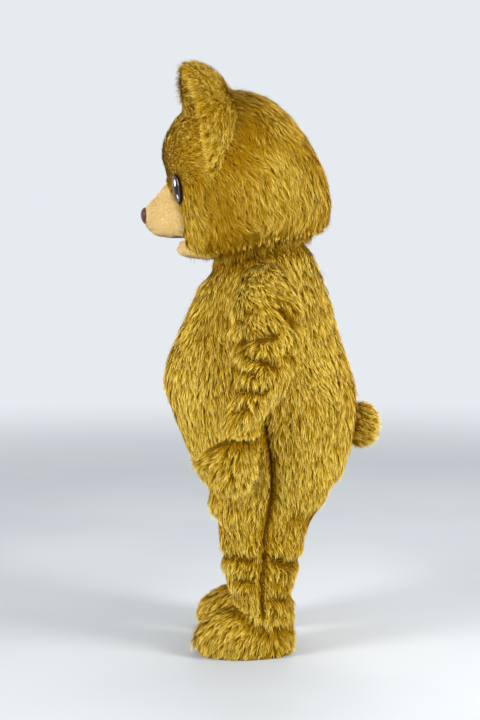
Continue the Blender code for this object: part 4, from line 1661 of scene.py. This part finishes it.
@dataclass(frozen=True)
class Boots:
    """Round-toed boots: furred uppers on flat foam soles."""

    outline: Outline = Outline("height front back half_width", (
        (0.013, -0.204, 0.116, 0.102), (0.045, -0.214, 0.120, 0.107), (0.080, -0.204, 0.119, 0.104),
        (0.110, -0.178, 0.116, 0.095), (0.134, -0.142, 0.111, 0.084), (0.152, -0.104, 0.106, 0.076),
        (0.168, -0.078, 0.098, 0.071), (0.205, -0.070, 0.092, 0.068),
    ), by_row=True)
    offset: float = 0.168
    rows: int = 24
    columns: int = 56
    lowest: float = 0.0123
    leg_hem: Pair = (0.122, 0.058)
    # How far below the leg's hem the painted shadow begins, and how fast it darkens.
    hem_shade: Pair = (0.045, 0.030)
    seed: int = 150
    pelt: Pelt = Pelt(
        (UNDERCOAT.sized(1.0, 1.0, 1.3), replace(GUARD_HAIR.sized(0.95, 1.0, 1.5), lift=24.0)),
        clump=0.015, unruly=0.4, stray=0.08,
    )

    def form(self, around: Array, level: Array) -> Array:
        """Ovals a tenth fuller at the toe than at the heel.

        Args:
            around: radians from the outer side towards the heel.
            level: row number of the outline.

        Returns:
            Points of the left boot.
        """
        middle, half = self.outline.span("front", "back", level)
        x = self.outline.at("half_width", level) * np.cos(around) * (1 - 0.10 * np.sin(around))
        return stacked(x + self.offset, middle + half * np.sin(around), self.outline.at("height", level))

    def comb(self, points: Array, normals: Array) -> Array:
        """Down and out from the ankle, forwards over the toe.

        Args:
            points: the places asked about.
            normals: the outward normals there.

        Returns:
            Directions.
        """
        out = points * np.array((1.0, 1.0, 0.0)) - np.array((0.0, 0.02, 0.0))
        out[:, 0] -= np.sign(points[:, 0]) * self.offset
        return unit(out) * 0.75 + np.array((0.0, 0.0, -1.0))

    def trim(self, points: Array) -> Array:
        """A little shorter low down, where it brushes the floor, and short under the leg's hem."""
        collar = smoothstep((0.165 - points[:, 2]) / 0.03)
        return (0.75 + 0.25 * smoothstep((points[:, 2] - 0.010) / 0.045)) * (0.35 + 0.65 * collar)

    def build(self) -> None:
        """Both uppers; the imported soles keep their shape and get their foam."""
        angle, row = np.broadcast_arrays(ring_angles(self.columns), self.outline.levels(self.rows))
        points = self.form(angle, row)
        normals = facing(form_normals(self.form, angle, row), stacked(np.cos(angle), np.sin(angle), 0.0))
        normals[0] = unit(normals[0] * np.array((1.0, 1.0, 0.0)))
        skin = pressed(points, normals, closed=True)
        skin.points[0, :, 2] = self.lowest
        # Shadow is painted on the boot's upper under the leg's hem.
        (hem, rise), (reach, fade) = self.leg_hem, self.hem_shade
        hem = hem + rise * np.clip((0.02 - points[..., 1]) / 0.11, 0.0, 1.0)
        skin.painted_shade = smoothstep((points[..., 2] - hem + reach) / fade)
        for number, side in enumerate(Side):
            FurredPiece(f"boot_upper_{side.label}", skin.on(side), BOOT_WALL, self.pelt, Hold.STRETCHED,
                        self.seed + number, self.comb, self.trim).build()
            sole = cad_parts[f"boot_sole_{side.label}"]
            sole.data.materials.clear()
            sole.data.materials.append(SOLE_FOAM.material())


# ---------------------------------------------------------------- head


@dataclass(frozen=True)
class Head:
    """The worn head: two sides, a back, the cream muzzle and jaw, nose and eyes."""

    outline: Outline = Outline("height front back back_height half_width", (
        (1.268, -0.160, 0.146, 1.348, 0.178), (1.280, -0.236, 0.214, 1.374, 0.240),
        (1.307, -0.264, 0.235, 1.400, 0.268), (1.339, -0.268, 0.241, 1.428, 0.285),
        (1.445, -0.292, 0.242, 1.486, 0.301), (1.550, -0.309, 0.224, 1.560, 0.301),
        (1.620, -0.325, 0.193, 1.626, 0.289), (1.700, -0.306, 0.151, 1.696, 0.259),
        (1.770, -0.252, 0.093, 1.763, 0.206), (1.818, -0.168, 0.022, 1.813, 0.126),
        (1.835, -0.066, -0.066, 1.835, 0.000), (1.818, 0.022, -0.168, 1.813, -0.126),
    ), by_row=True)
    face: Outline = Outline("height edge forward", (
        (1.268, 36.0, 0.012), (1.302, 31.5, 0.015), (1.318, 27.7, 0.009), (1.330, 24.9, 0.002),
        (1.338, 24.4, 0.001), (1.344, 25.0, 0.048),
        (1.366, 30.0, 0.089), (1.410, 33.0, 0.096), (1.458, 29.0, 0.079), (1.500, 20.0, 0.035),
        (1.530, 11.0, 0.008), (1.550, 0.0, 0.000), (1.900, 0.0, 0.000),
    ))
    back_seam: float = 138.0
    mouth: Pair = (2.92, 3.03)
    crown: float = 9.97
    face_top: float = 5.0
    # Spots where shade is painted on the head, behind the ears and inside their cups.
    ear_shade: tuple[Triple, ...] = (
        (0.235, -0.015, 1.715), (0.275, -0.095, 1.600), (0.262, -0.045, 1.650),
        (0.205, -0.200, 1.740), (0.225, -0.170, 1.690),
    )
    ear_shade_radius: float = 0.042
    row_steps: Triple = (0.18, 0.11, 0.07)
    side_columns: int = 37
    back_columns: int = 21
    face_columns: int = 41
    seed: int = 160
    pelt: Pelt = Pelt(
        (replace(UNDERCOAT.sized(0.95, 0.9, 1.2), tone=-0.38),
         replace(GUARD_HAIR.sized(1.0, 0.8, 1.5), lift=14.0, wave=0.0038, tone=-0.12)),
        clump=0.011, unruly=0.40, stray=0.10,
    )
    plush: Pelt = Pelt((Coat(360_000.0, 0.0055, 0.0014, lift=50.0, gather=0.4, segments=1),),
                       clump=0.004, unruly=1.2, stray=0.0, droop=0.02, patchy=0.24, patch=0.05)

    def edge(self, level: Array) -> Array:
        """Degrees round the head from its middle to the cream face's edge.

        Args:
            level: row number of the outline.

        Returns:
            Degrees, nothing above the face.
        """
        height = self.outline.at("height", level)
        rows = self.face.rows
        return np.maximum(np.interp(height, [row[0] for row in rows], [row[1] for row in rows]), 0.0)

    def skull(self, around: Array, level: Array) -> Array:
        """The tilted ovals alone, without the muzzle and the jaw.

        Args:
            around: degrees from the middle of the face to its left.
            level: row number of the outline.

        Returns:
            Points.
        """
        turn = np.radians(around)
        x = self.outline.at("half_width", level) * np.sin(turn)
        (middle, depth), (height, tilt) = (
            self.outline.span(*pair, level) for pair in (("back", "front"), ("back_height", "height"))
        )
        return stacked(x, middle + depth * np.cos(turn), height + tilt * np.cos(turn))

    def form(self, around: Array, level: Array) -> Array:
        """Tilted ovals, with the muzzle and the jaw drawn out forwards.

        Args:
            around: degrees from the middle of the face to its left.
            level: row number of the outline.

        Returns:
            Points.
        """
        edge = np.maximum(self.edge(level), 1.0)
        side = np.clip(1.0 - (around / edge) ** 2, 0.0, 1.0) ** 0.6
        forward = np.maximum(self.face.at("forward", self.outline.at("height", level)), 0.0)
        return self.skull(around, level) - stacked(0.0, forward * side, 0.0)

    def levels(self, low: float, high: float, step: float) -> Array:
        """Row numbers between two, as a column, spaced at most a step apart."""
        return np.linspace(low, high, int(np.ceil((high - low) / step)) + 1)[:, None]

    def skin(self, around: Array, level: Array) -> Skin:
        """The pile side of a panel over angles and row numbers.

        Args:
            around: degrees from the middle of the face to its left.
            level: row number of the outline.

        Returns:
            The skin, with shade painted towards its lower rim and where the ears shade it.
        """
        around, level = np.broadcast_arrays(around, level)
        points = self.form(around, level)
        normals = form_normals(self.form, around, level)
        normals = normals * np.sign(np.sum(normals * (points - HEAD_HEART)))
        skin = pressed(points, normals)
        # Shade is painted darker towards the head's lower rim, and in spots where the ears shade it.
        skin.painted_shade = np.broadcast_to(0.5 * smoothstep((2.9 - level) / 1.8), around.shape)
        toward = np.array((np.sign(180.0 - around.mean()), 1.0, 1.0))
        for place in self.ear_shade:
            apart = np.linalg.norm(skin.points * toward - np.array(place), axis=-1)
            skin.painted_shade = np.maximum(skin.painted_shade, 0.75 * np.exp(-((apart / self.ear_shade_radius) ** 2)))
        return skin

    def comb(self, points: Array, normals: Array) -> Array:
        """Back over the brow and the crown, slanting down the sides, tousled low down.

        Args:
            points: the places asked about.
            normals: the outward normals there.

        Returns:
            Directions.
        """
        height = points[:, 2:3]
        crown = smoothstep((height - 1.62) / 0.14)
        brow = smoothstep((-0.13 - points[:, 1:2]) / 0.10) * smoothstep((height - 1.49) / 0.07)
        cheek = smoothstep((-0.14 - points[:, 1:2]) / 0.08)
        nape = smoothstep((points[:, 1:2] - 0.05) / 0.10)
        back = np.array((0.0, 1.0, 0.0))
        side = np.array((0.0, 0.55, -1.0)) - 0.45 * back * cheek - 0.25 * back * nape
        tousle = smoothstep((1.50 - height) / 0.12) * np.tanh(Rolling(0.13, 21).at(points))[:, None]
        side = side + np.array((0.0, -0.9, 0.3)) * tousle
        over = np.array((0.0, 1.0, -0.45)) + 0.25 * normals * np.array((1.0, 0.0, 0.0))
        along = side * (1 - crown) + over * crown
        apart = np.tanh(points[:, :1] / 0.03) * np.array((0.7, 0.0, 0.0))
        return along * (1 - brow) + (np.array((0.0, 1.0, 0.12)) + apart) * brow

    def trim(self, points: Array) -> Array:
        """Shorter on the brow and round the eyes, longer along the lower rim.

        Args:
            points: the places asked about.

        Returns:
            Shares of the full length.
        """
        front = smoothstep((-0.19 - points[:, 1]) / 0.08)
        low = smoothstep((1.42 - points[:, 2]) / 0.10)
        full = 1.0 - 0.45 * front * (1 - low) + 0.15 * low
        eye = self.form(np.array(Eyes.around), np.array(Eyes.level))
        near = np.abs(points) * (1, 0, 0) + points * (0, 1, 1)
        far = np.linalg.norm((near - eye) * (1.0, 1.0, 0.55), axis=-1)
        return full * smoothstep((far - 0.022) / 0.022)

    def rim(self, skin: Skin, side: Side, start: int = 0) -> tuple[Fringe, ...]:
        """Pile that hangs over the suit's neck, from under the head and from its lower edge.

        Args:
            skin: a panel, as made for the left.
            side: which side it is on.
            start: the column it begins at, behind the jaw.

        Returns:
            The two fringes.
        """
        under, edge = (skin.part(rows, start).on(side) for rows in (slice(0, 4), slice(4, 8)))
        # Both fringes are toned darker as painted shade under the head's rim.
        return Fringe(under, 0.030, 70_000.0, -0.45), Fringe(edge, 0.018, 60_000.0, -0.25)

    def build(self) -> None:
        """Sides, back, muzzle and jaw."""
        low, high = self.mouth
        jaw_step, skull_step, face_step = self.row_steps
        rows = np.concatenate((self.levels(0.0, low, jaw_step), self.levels(high, self.crown, skull_step)))
        edge = self.edge(rows)
        share = np.linspace(0.0, 1.0, self.side_columns)[None, :]
        half = self.skin(edge + (self.back_seam - edge) * share, rows)
        behind = np.linspace(self.back_seam, 360.0 - self.back_seam, self.back_columns)[None, :]
        back = self.skin(behind, rows)
        panels = [(f"side_{side.label}", half.on(side), self.rim(half, side, 2)) for side in Side]
        panels.append(("back", back, self.rim(back, Side.LEFT)))
        for number, (name, skin, fringes) in enumerate(panels):
            FurredPiece(f"head_{name}", skin, HEAD_WALL, self.pelt, Hold.PADDED, self.seed + number,
                        self.comb, self.trim, fringes).build()
        share = np.linspace(-1.0, 1.0, self.face_columns)[None, :]
        for number, (node, start, end) in enumerate((("jaw", 0.0, low), ("muzzle", high, self.face_top))):
            level = self.levels(start, end, face_step)
            skin = self.skin(self.edge(level) * share, level)
            # Half the head's painted shade; the locks grow paler towards the front of the muzzle.
            skin.painted_shade = 0.5 * skin.painted_shade - 0.7 * smoothstep((-0.290 - skin.points[..., 1]) / 0.06)
            FurredPiece(node, skin, HEAD_WALL, self.plush, Hold.PADDED, self.seed + 5 + number, self.comb,
                        locks=CREAM_LOCKS, nap=CREAM_NAP, slot="cream_plush").build()


@dataclass(frozen=True)
class Boss:
    """A hard domed piece that lies on the head."""

    head: Head
    around: float
    level: float
    half_wide: float
    half_high: float
    dome: float
    lift: float
    form: Form | None = None
    spokes: int = 48
    rings: int = 14

    def grids(self) -> tuple[Array, Array, Array]:
        """Front and back polar grids and the map's coordinates.

        The rings run from the middle out to the rim; the front stands up by the dome's
        height times the square root of one less the ring's radius squared.

        Returns:
            Front points, back points, and the map from 0 to 1.
        """
        turns = ring_angles(self.spokes)
        rings = np.sin(np.linspace(0.0, pi / 2, self.rings))[:, None]
        step = 0.05
        wide = np.linalg.norm(self.at(step, 0.0) - self.at(-step, 0.0)) / (2 * step)
        high = np.linalg.norm(self.at(0.0, step) - self.at(0.0, -step)) / (2 * step)
        around = self.around + self.half_wide / wide * rings * np.cos(turns)
        level = self.level + self.half_high / high * rings * np.sin(turns)
        form = self.form or self.head.form
        seat = form(around, level)
        normal = form_normals(form, around, level)
        normal = normal * np.sign(np.sum(normal * (seat - HEAD_HEART)))
        rise = self.dome * np.sqrt(np.clip(1.0 - rings**2, 0.0, 1.0))[..., None]
        back = seat - normal * (PILE - self.lift)
        chart = np.stack((0.5 + 0.49 * rings * np.cos(turns), 0.5 + 0.49 * rings * np.sin(turns)), axis=-1)
        return back + normal * (rise + 0.002), back, chart

    def at(self, turn: float, rise: float) -> Array:
        """The head's point a little way from the piece's middle."""
        return self.head.form(np.array(self.around + turn), np.array(self.level + rise))

    def build(self, node: str, side: Side, finish: Finish, slot: str) -> None:
        """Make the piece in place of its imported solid.

        Args:
            node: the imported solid's name.
            side: which side of the head.
            finish: its finish.
            slot: its material slot.
        """
        front, back, chart = self.grids()
        middle = front.mean(axis=(0, 1)) - back.mean(axis=(0, 1))
        skin = Skin(front, np.broadcast_to(unit(middle), front.shape), True)
        if side is Side.RIGHT:
            skin = skin.mirrored()
            back = back[:, ::-1] * np.array((-1.0, 1.0, 1.0))
            chart = chart[:, ::-1]
        rows, columns = front.shape[:2]
        faces, steps = grid_cells(rows, columns, True)
        everything = skin.outward(shell_faces(faces, steps[columns:], rows * columns))
        points = np.concatenate((skin.points.reshape(-1, 3), back.reshape(-1, 3)))
        made = new_object(f"{node}_shell", points, everything)
        chart_onto(made, np.tile(chart.reshape(-1, 2), (2, 1))[everything.ravel()])
        weld(made.data, 1e-5)
        dress(made, node, slot, finish)
        log.info("%s: %d faces", made.name, len(made.data.polygons))


@dataclass(frozen=True)
class Eyes:
    """Where the eyes lie on the head."""

    around: float = 30.5
    level: float = 4.50

    def build(self, head: Head) -> None:
        """Both eyes and the nose.

        Args:
            head: the head they lie on.
        """
        for side in Side:
            Boss(head, self.around, self.level, 0.025, 0.050, 0.008, 0.0045, head.skull).build(
                f"eye_{side.label}", side, EYE_ACRYLIC, "eye_acrylic")
        Boss(head, 0.0, 3.82, 0.040, 0.029, 0.014, 0.0006).build("nose", Side.LEFT, NOSE_VINYL, "nose_vinyl")


# ---------------------------------------------------------------- ears and tail


@dataclass(frozen=True)
class Ears:
    """Padded cups that open forwards and outwards."""

    head: Head
    centre: Triple = (0.212, -0.185, 1.700)
    semi_axes: Triple = (0.110, 0.200, 0.135)
    squareness: float = 0.85
    thickness: float = 0.034
    turn: float = 18.0
    seed: int = 170
    lean: Triple = (-0.02, -0.22, 1.0)
    columns: int = 44
    cup_rows: int = 15
    rim_rows: int = 7
    pelt: Pelt = Pelt(
        (UNDERCOAT.sized(0.75, 0.7, 1.6),
         replace(GUARD_HAIR.sized(0.80, 0.68, 2.2), wave=0.0045, lift=24.0, tone=0.05)),
        clump=0.010, unruly=0.8, droop=0.05,
    )

    def axes(self) -> tuple[Array, Array, Array]:
        """Across the left ear's opening, up it, and back from it.

        Returns:
            Three directions.
        """
        across = np.array((cos(radians(self.turn)), sin(radians(self.turn)), 0.0))
        up = unit(np.array(self.lean))
        return across, up, unit(np.cross(up, across))

    def skin(self) -> Skin:
        """The whole ear as one closed grid: up the inside, over the rim, down the outside.

        Each side is half an ellipsoid behind the opening; the rim is a half circle whose
        width is the padding's.

        Returns:
            The left ear's skin.
        """
        across, up, back = self.axes()
        wide, tall, deep = (size - PILE for size in self.semi_axes)
        half = self.thickness / 2
        cup, rim = self.cup_rows, self.rim_rows
        tilt, flat = np.linspace(pi / 2, 0.0, cup), np.zeros(cup)
        roll = np.linspace(0.0, pi, rim + 2)[1:-1]
        shrink = np.concatenate((np.full(cup, 2 * half), half + half * np.cos(roll), flat))
        ahead = np.concatenate((flat, half * np.sin(roll), flat))
        tilts = np.concatenate((tilt, np.zeros(rim), tilt[::-1]))
        turns = ring_angles(self.columns)[..., None]
        waves = (np.cos(turns), np.sin(turns))
        broad_c, broad_s = (np.sign(wave) * np.abs(wave) ** self.squareness for wave in waves)
        shrink, ahead, tilts = (row[:, None, None] for row in (shrink, ahead, tilts))
        ring = (wide - shrink) * broad_c * across + (tall - shrink) * broad_s * up
        depth = (deep - shrink) * np.sin(tilts) - ahead
        middle = np.array(self.centre)
        points = middle + ring * np.cos(tilts) + depth * back
        row = np.arange(len(points))
        outside = row[:, None, None] >= cup + rim // 2
        outward = np.where(outside, points - middle, middle + 0.02 * back - points)
        skin = Skin.over(points, unit(outward - 0.4 * ahead / half * back), closed=True)
        # Shade is painted inside the cup: its locks are darker and shorter.
        inside = 1.5 * np.clip((cup + 1.0 - row) / 3.0, 0.0, 1.0)
        skin.painted_shade = np.broadcast_to(inside[:, None], points.shape[:2])
        return skin

    def comb(self, points: Array, normals: Array) -> Array:
        """Out of the cup, over the rim and back down the outside.

        Args:
            points: the places asked about.
            normals: the outward normals there.

        Returns:
            Directions.
        """
        side = np.sign(points[:, :1])
        mirror = np.concatenate((side, np.ones_like(side), np.ones_like(side)), axis=1)
        back = self.axes()[2] * mirror
        away = points - np.array(self.centre) * mirror
        ring = np.cross(back, unit(away - back * dot(away, back)))
        return np.cross(ring, normals) + np.array((0.0, 0.0, -0.35))

    def build(self) -> None:
        """Both ears, each with its foot inside the head."""
        base = self.skin()
        samples = self.head.skin(np.linspace(0.0, 360.0, 90)[None, :], self.head.levels(3.0, 9.9, 0.12))
        head_points, head_normals = samples.points.reshape(-1, 3), samples.normals.reshape(-1, 3)

        def clear(points: Array) -> Array:
            """How far points lie outside the head, by its nearest sampled point.

            Args:
                points: the places asked about.

            Returns:
                Distances, negative inside the head.
            """
            upright = points * np.array((np.sign(points[:, :1].mean()), 1.0, 1.0))
            gap = np.empty(len(points))
            for start in range(0, len(points), 2000):
                part = upright[start : start + 2000]
                near = np.argmin(((part[:, None] - head_points[None]) ** 2).sum(-1), axis=1)
                gap[start : start + 2000] = np.sum((part - head_points[near]) * head_normals[near], axis=-1)
            return gap

        def trim(points: Array) -> Array:
            """None inside the head."""
            return smoothstep((clear(points) + 0.001) / 0.006)

        for number, side in enumerate(Side):
            FurredPiece(f"ear_{side.label}", base.on(side), None, self.pelt, Hold.PADDED, self.seed + number,
                        self.comb, trim, fill=0.9).build()


@dataclass(frozen=True)
class Tail:
    """A stuffed ball sewn to the back of the suit."""

    suit: Suit
    centre: Triple = (0.0, 0.340, 0.729)
    semi_axes: Triple = (0.068, 0.056, 0.070)
    pelt: Pelt = Pelt(
        (UNDERCOAT.sized(1.0, 1.0, 1.5), replace(GUARD_HAIR.sized(0.9, 1.0, 1.8), lift=36.0, tone=0.30)),
        clump=0.015, unruly=0.7, stray=0.1,
    )
    seed: int = 180
    columns: int = 44
    rows: int = 23

    def seat(self, points: Array) -> Array:
        """How far back the suit reaches at points, a little rounded sideways."""
        back = self.suit.torso.at("back", points[..., 2])
        return back - PILE - 0.02 * (np.abs(points[..., 0]) / 0.07) ** 2

    def comb(self, points: Array, normals: Array) -> Array:
        """Out from the seat and down.

        Args:
            points: the places asked about.
            normals: the outward normals there.

        Returns:
            Directions.
        """
        away = points - np.array(self.centre)
        away[:, 1] += 0.03
        return unit(away) + np.array((0.0, 0.2, -0.6))

    def trim(self, points: Array) -> Array:
        """None where the ball sits on the suit."""
        return smoothstep((points[:, 1] - self.seat(points) + 0.004) / 0.01)

    def build(self) -> None:
        """The ball and its pile."""
        turns = ring_angles(self.columns)
        tilts = np.linspace(-pi / 2, pi / 2, self.rows)[:, None]
        ball = stacked(np.cos(turns) * np.cos(tilts), np.sin(turns) * np.cos(tilts), np.sin(tilts))
        points = np.array(self.centre) + ball * np.array(self.semi_axes)
        points[..., 1] = np.maximum(points[..., 1], self.seat(points) + 0.001)
        FurredPiece("tail", Skin(points, unit(ball), True), None, self.pelt, Hold.PADDED, self.seed,
                    self.comb, self.trim, fill=0.8).build()


# ---------------------------------------------------------------- studio


@dataclass(frozen=True)
class Studio:
    """A pale floor, soft light and the camera at the bear's left side."""

    sky: Triple = (0.79, 0.83, 0.87)
    sky_strength: float = 1.0
    chest: Triple = (0.0, 0.0, -0.3)
    floor_rings: tuple[float, ...] = (0.0, 1.0, 2.0, 4.0, 8.0, 16.0, 40.0)
    floor_columns: int = 96
    floor_tints: tuple[Colour, Colour] = ((0.50, 0.53, 0.56), (0.56, 0.585, 0.61))
    camera_place: Triple = (4.3, -0.06, -0.09)
    camera_tilt: float = 3.55
    lens: float = 64.5
    lamps: tuple[tuple[str, Triple, float, float], ...] = (
        ("soft_key", (2.3, -3.3, 1.1), 1.4, 175.0),
        ("soft_fill", (1.9, 3.5, 1.3), 1.5, 210.0),
        ("soft_back", (-2.8, 0.6, 2.4), 2.0, 60.0),
    )

    def floor(self) -> None:
        """A wide round floor that fades into the background's colour far away."""
        turns = ring_angles(self.floor_columns)
        rings = np.array(self.floor_rings)[:, None]
        points = stacked(rings * np.cos(turns), rings * np.sin(turns), 0.0).reshape(-1, 3)
        faces, _ = grid_cells(len(self.floor_rings), self.floor_columns, True)
        floor = new_object("studio_floor", points, faces, merge=True)
        paint = bpy.data.materials.new("studio_floor_finish")
        paint.use_nodes = True
        bench, nodes = Bench(paint.node_tree), paint.node_tree.nodes
        place = bench.place()
        cloud = bench.node("TexNoise", in_Scale=0.8, in_Detail=3.0, in_Vector=place)
        tint = bench.mixed(bench.eased(cloud.outputs[0], 0.3, 0.7), *self.floor_tints)
        shader = nodes["Principled BSDF"]
        bench.feed(shader.inputs["Roughness"], 0.55)
        bench.feed(shader.inputs["Base Color"], tint)
        far = bench.node("VectorMath", operation="LENGTH", in_0=place).outputs["Value"]
        glow = bench.node("Emission", in_Color=self.sky, in_Strength=self.sky_strength)
        share = bench.eased(far, 2.0, 9.0)
        blend = bench.node("MixShader", in_0=share, in_1=shader.outputs[0], in_2=glow.outputs[0])
        bench.feed(nodes["Material Output"].inputs["Surface"], blend.outputs[0])
        floor.data.materials.append(paint)

    def panel(self, name: str, place: Triple, size: float, power: float) -> None:
        """A square soft light that points at the bear's chest.

        Args:
            name: the light's name.
            place: where it stands.
            size: its width.
            power: its power in watts.
        """
        lamp = bpy.data.lights.new(name, "AREA")
        lamp.shape, lamp.size, lamp.energy = "SQUARE", size, power
        lamp.color = (1.0, 0.985, 0.96)
        made = bpy.data.objects.new(name, lamp)
        bpy.context.scene.collection.objects.link(made)
        made.location = place
        aim = np.array(self.chest) - np.array(place)
        flat = float(np.hypot(aim[0], aim[1]))
        heading = float(np.arctan2(aim[1], aim[0])) - pi / 2
        made.rotation_euler = (float(np.arctan2(flat, -aim[2])), 0.0, heading)

    def build(self) -> None:
        """Background, floor, lights, camera and an even picture tone."""
        world = bpy.data.worlds.new("studio_world")
        bpy.context.scene.world = world
        world.use_nodes = True
        background = world.node_tree.nodes["Background"]
        bench = Bench(world.node_tree)
        parts = bench.node("SeparateXYZ", in_0=bench.node("TexCoord").outputs["Generated"])
        dim = bench.eased(parts.outputs[2], 0.25, 0.80)
        strength = bench.maths("MULTIPLY_ADD", dim, -0.6 * self.sky_strength, self.sky_strength)
        bench.feed(background.inputs["Color"], self.sky)
        bench.feed(background.inputs["Strength"], strength)
        self.floor()
        for lamp in self.lamps:
            self.panel(*lamp)
        camera = bpy.data.cameras.new("side_camera")
        camera.sensor_fit, camera.sensor_height, camera.lens = "VERTICAL", 36.0, self.lens
        made = bpy.data.objects.new("side_camera", camera)
        bpy.context.scene.collection.objects.link(made)
        made.location = self.camera_place
        made.rotation_euler = (radians(90.0 - self.camera_tilt), 0.0, radians(90.0))
        bpy.context.scene.camera = made
        bpy.context.scene.view_settings.view_transform = "Standard"


def main() -> None:
    """Build the studio and every piece of the costume."""
    logging.basicConfig(level=logging.INFO, format="%(name)s: %(message)s")
    Studio().build()
    suit, head = Suit(), Head()
    suit.build()
    Sleeves(suit).build()
    Mittens().build()
    Boots().build()
    head.build()
    Eyes().build(head)
    Ears(head).build()
    Tail(suit).build()


if __name__ == "__main__":
    main()
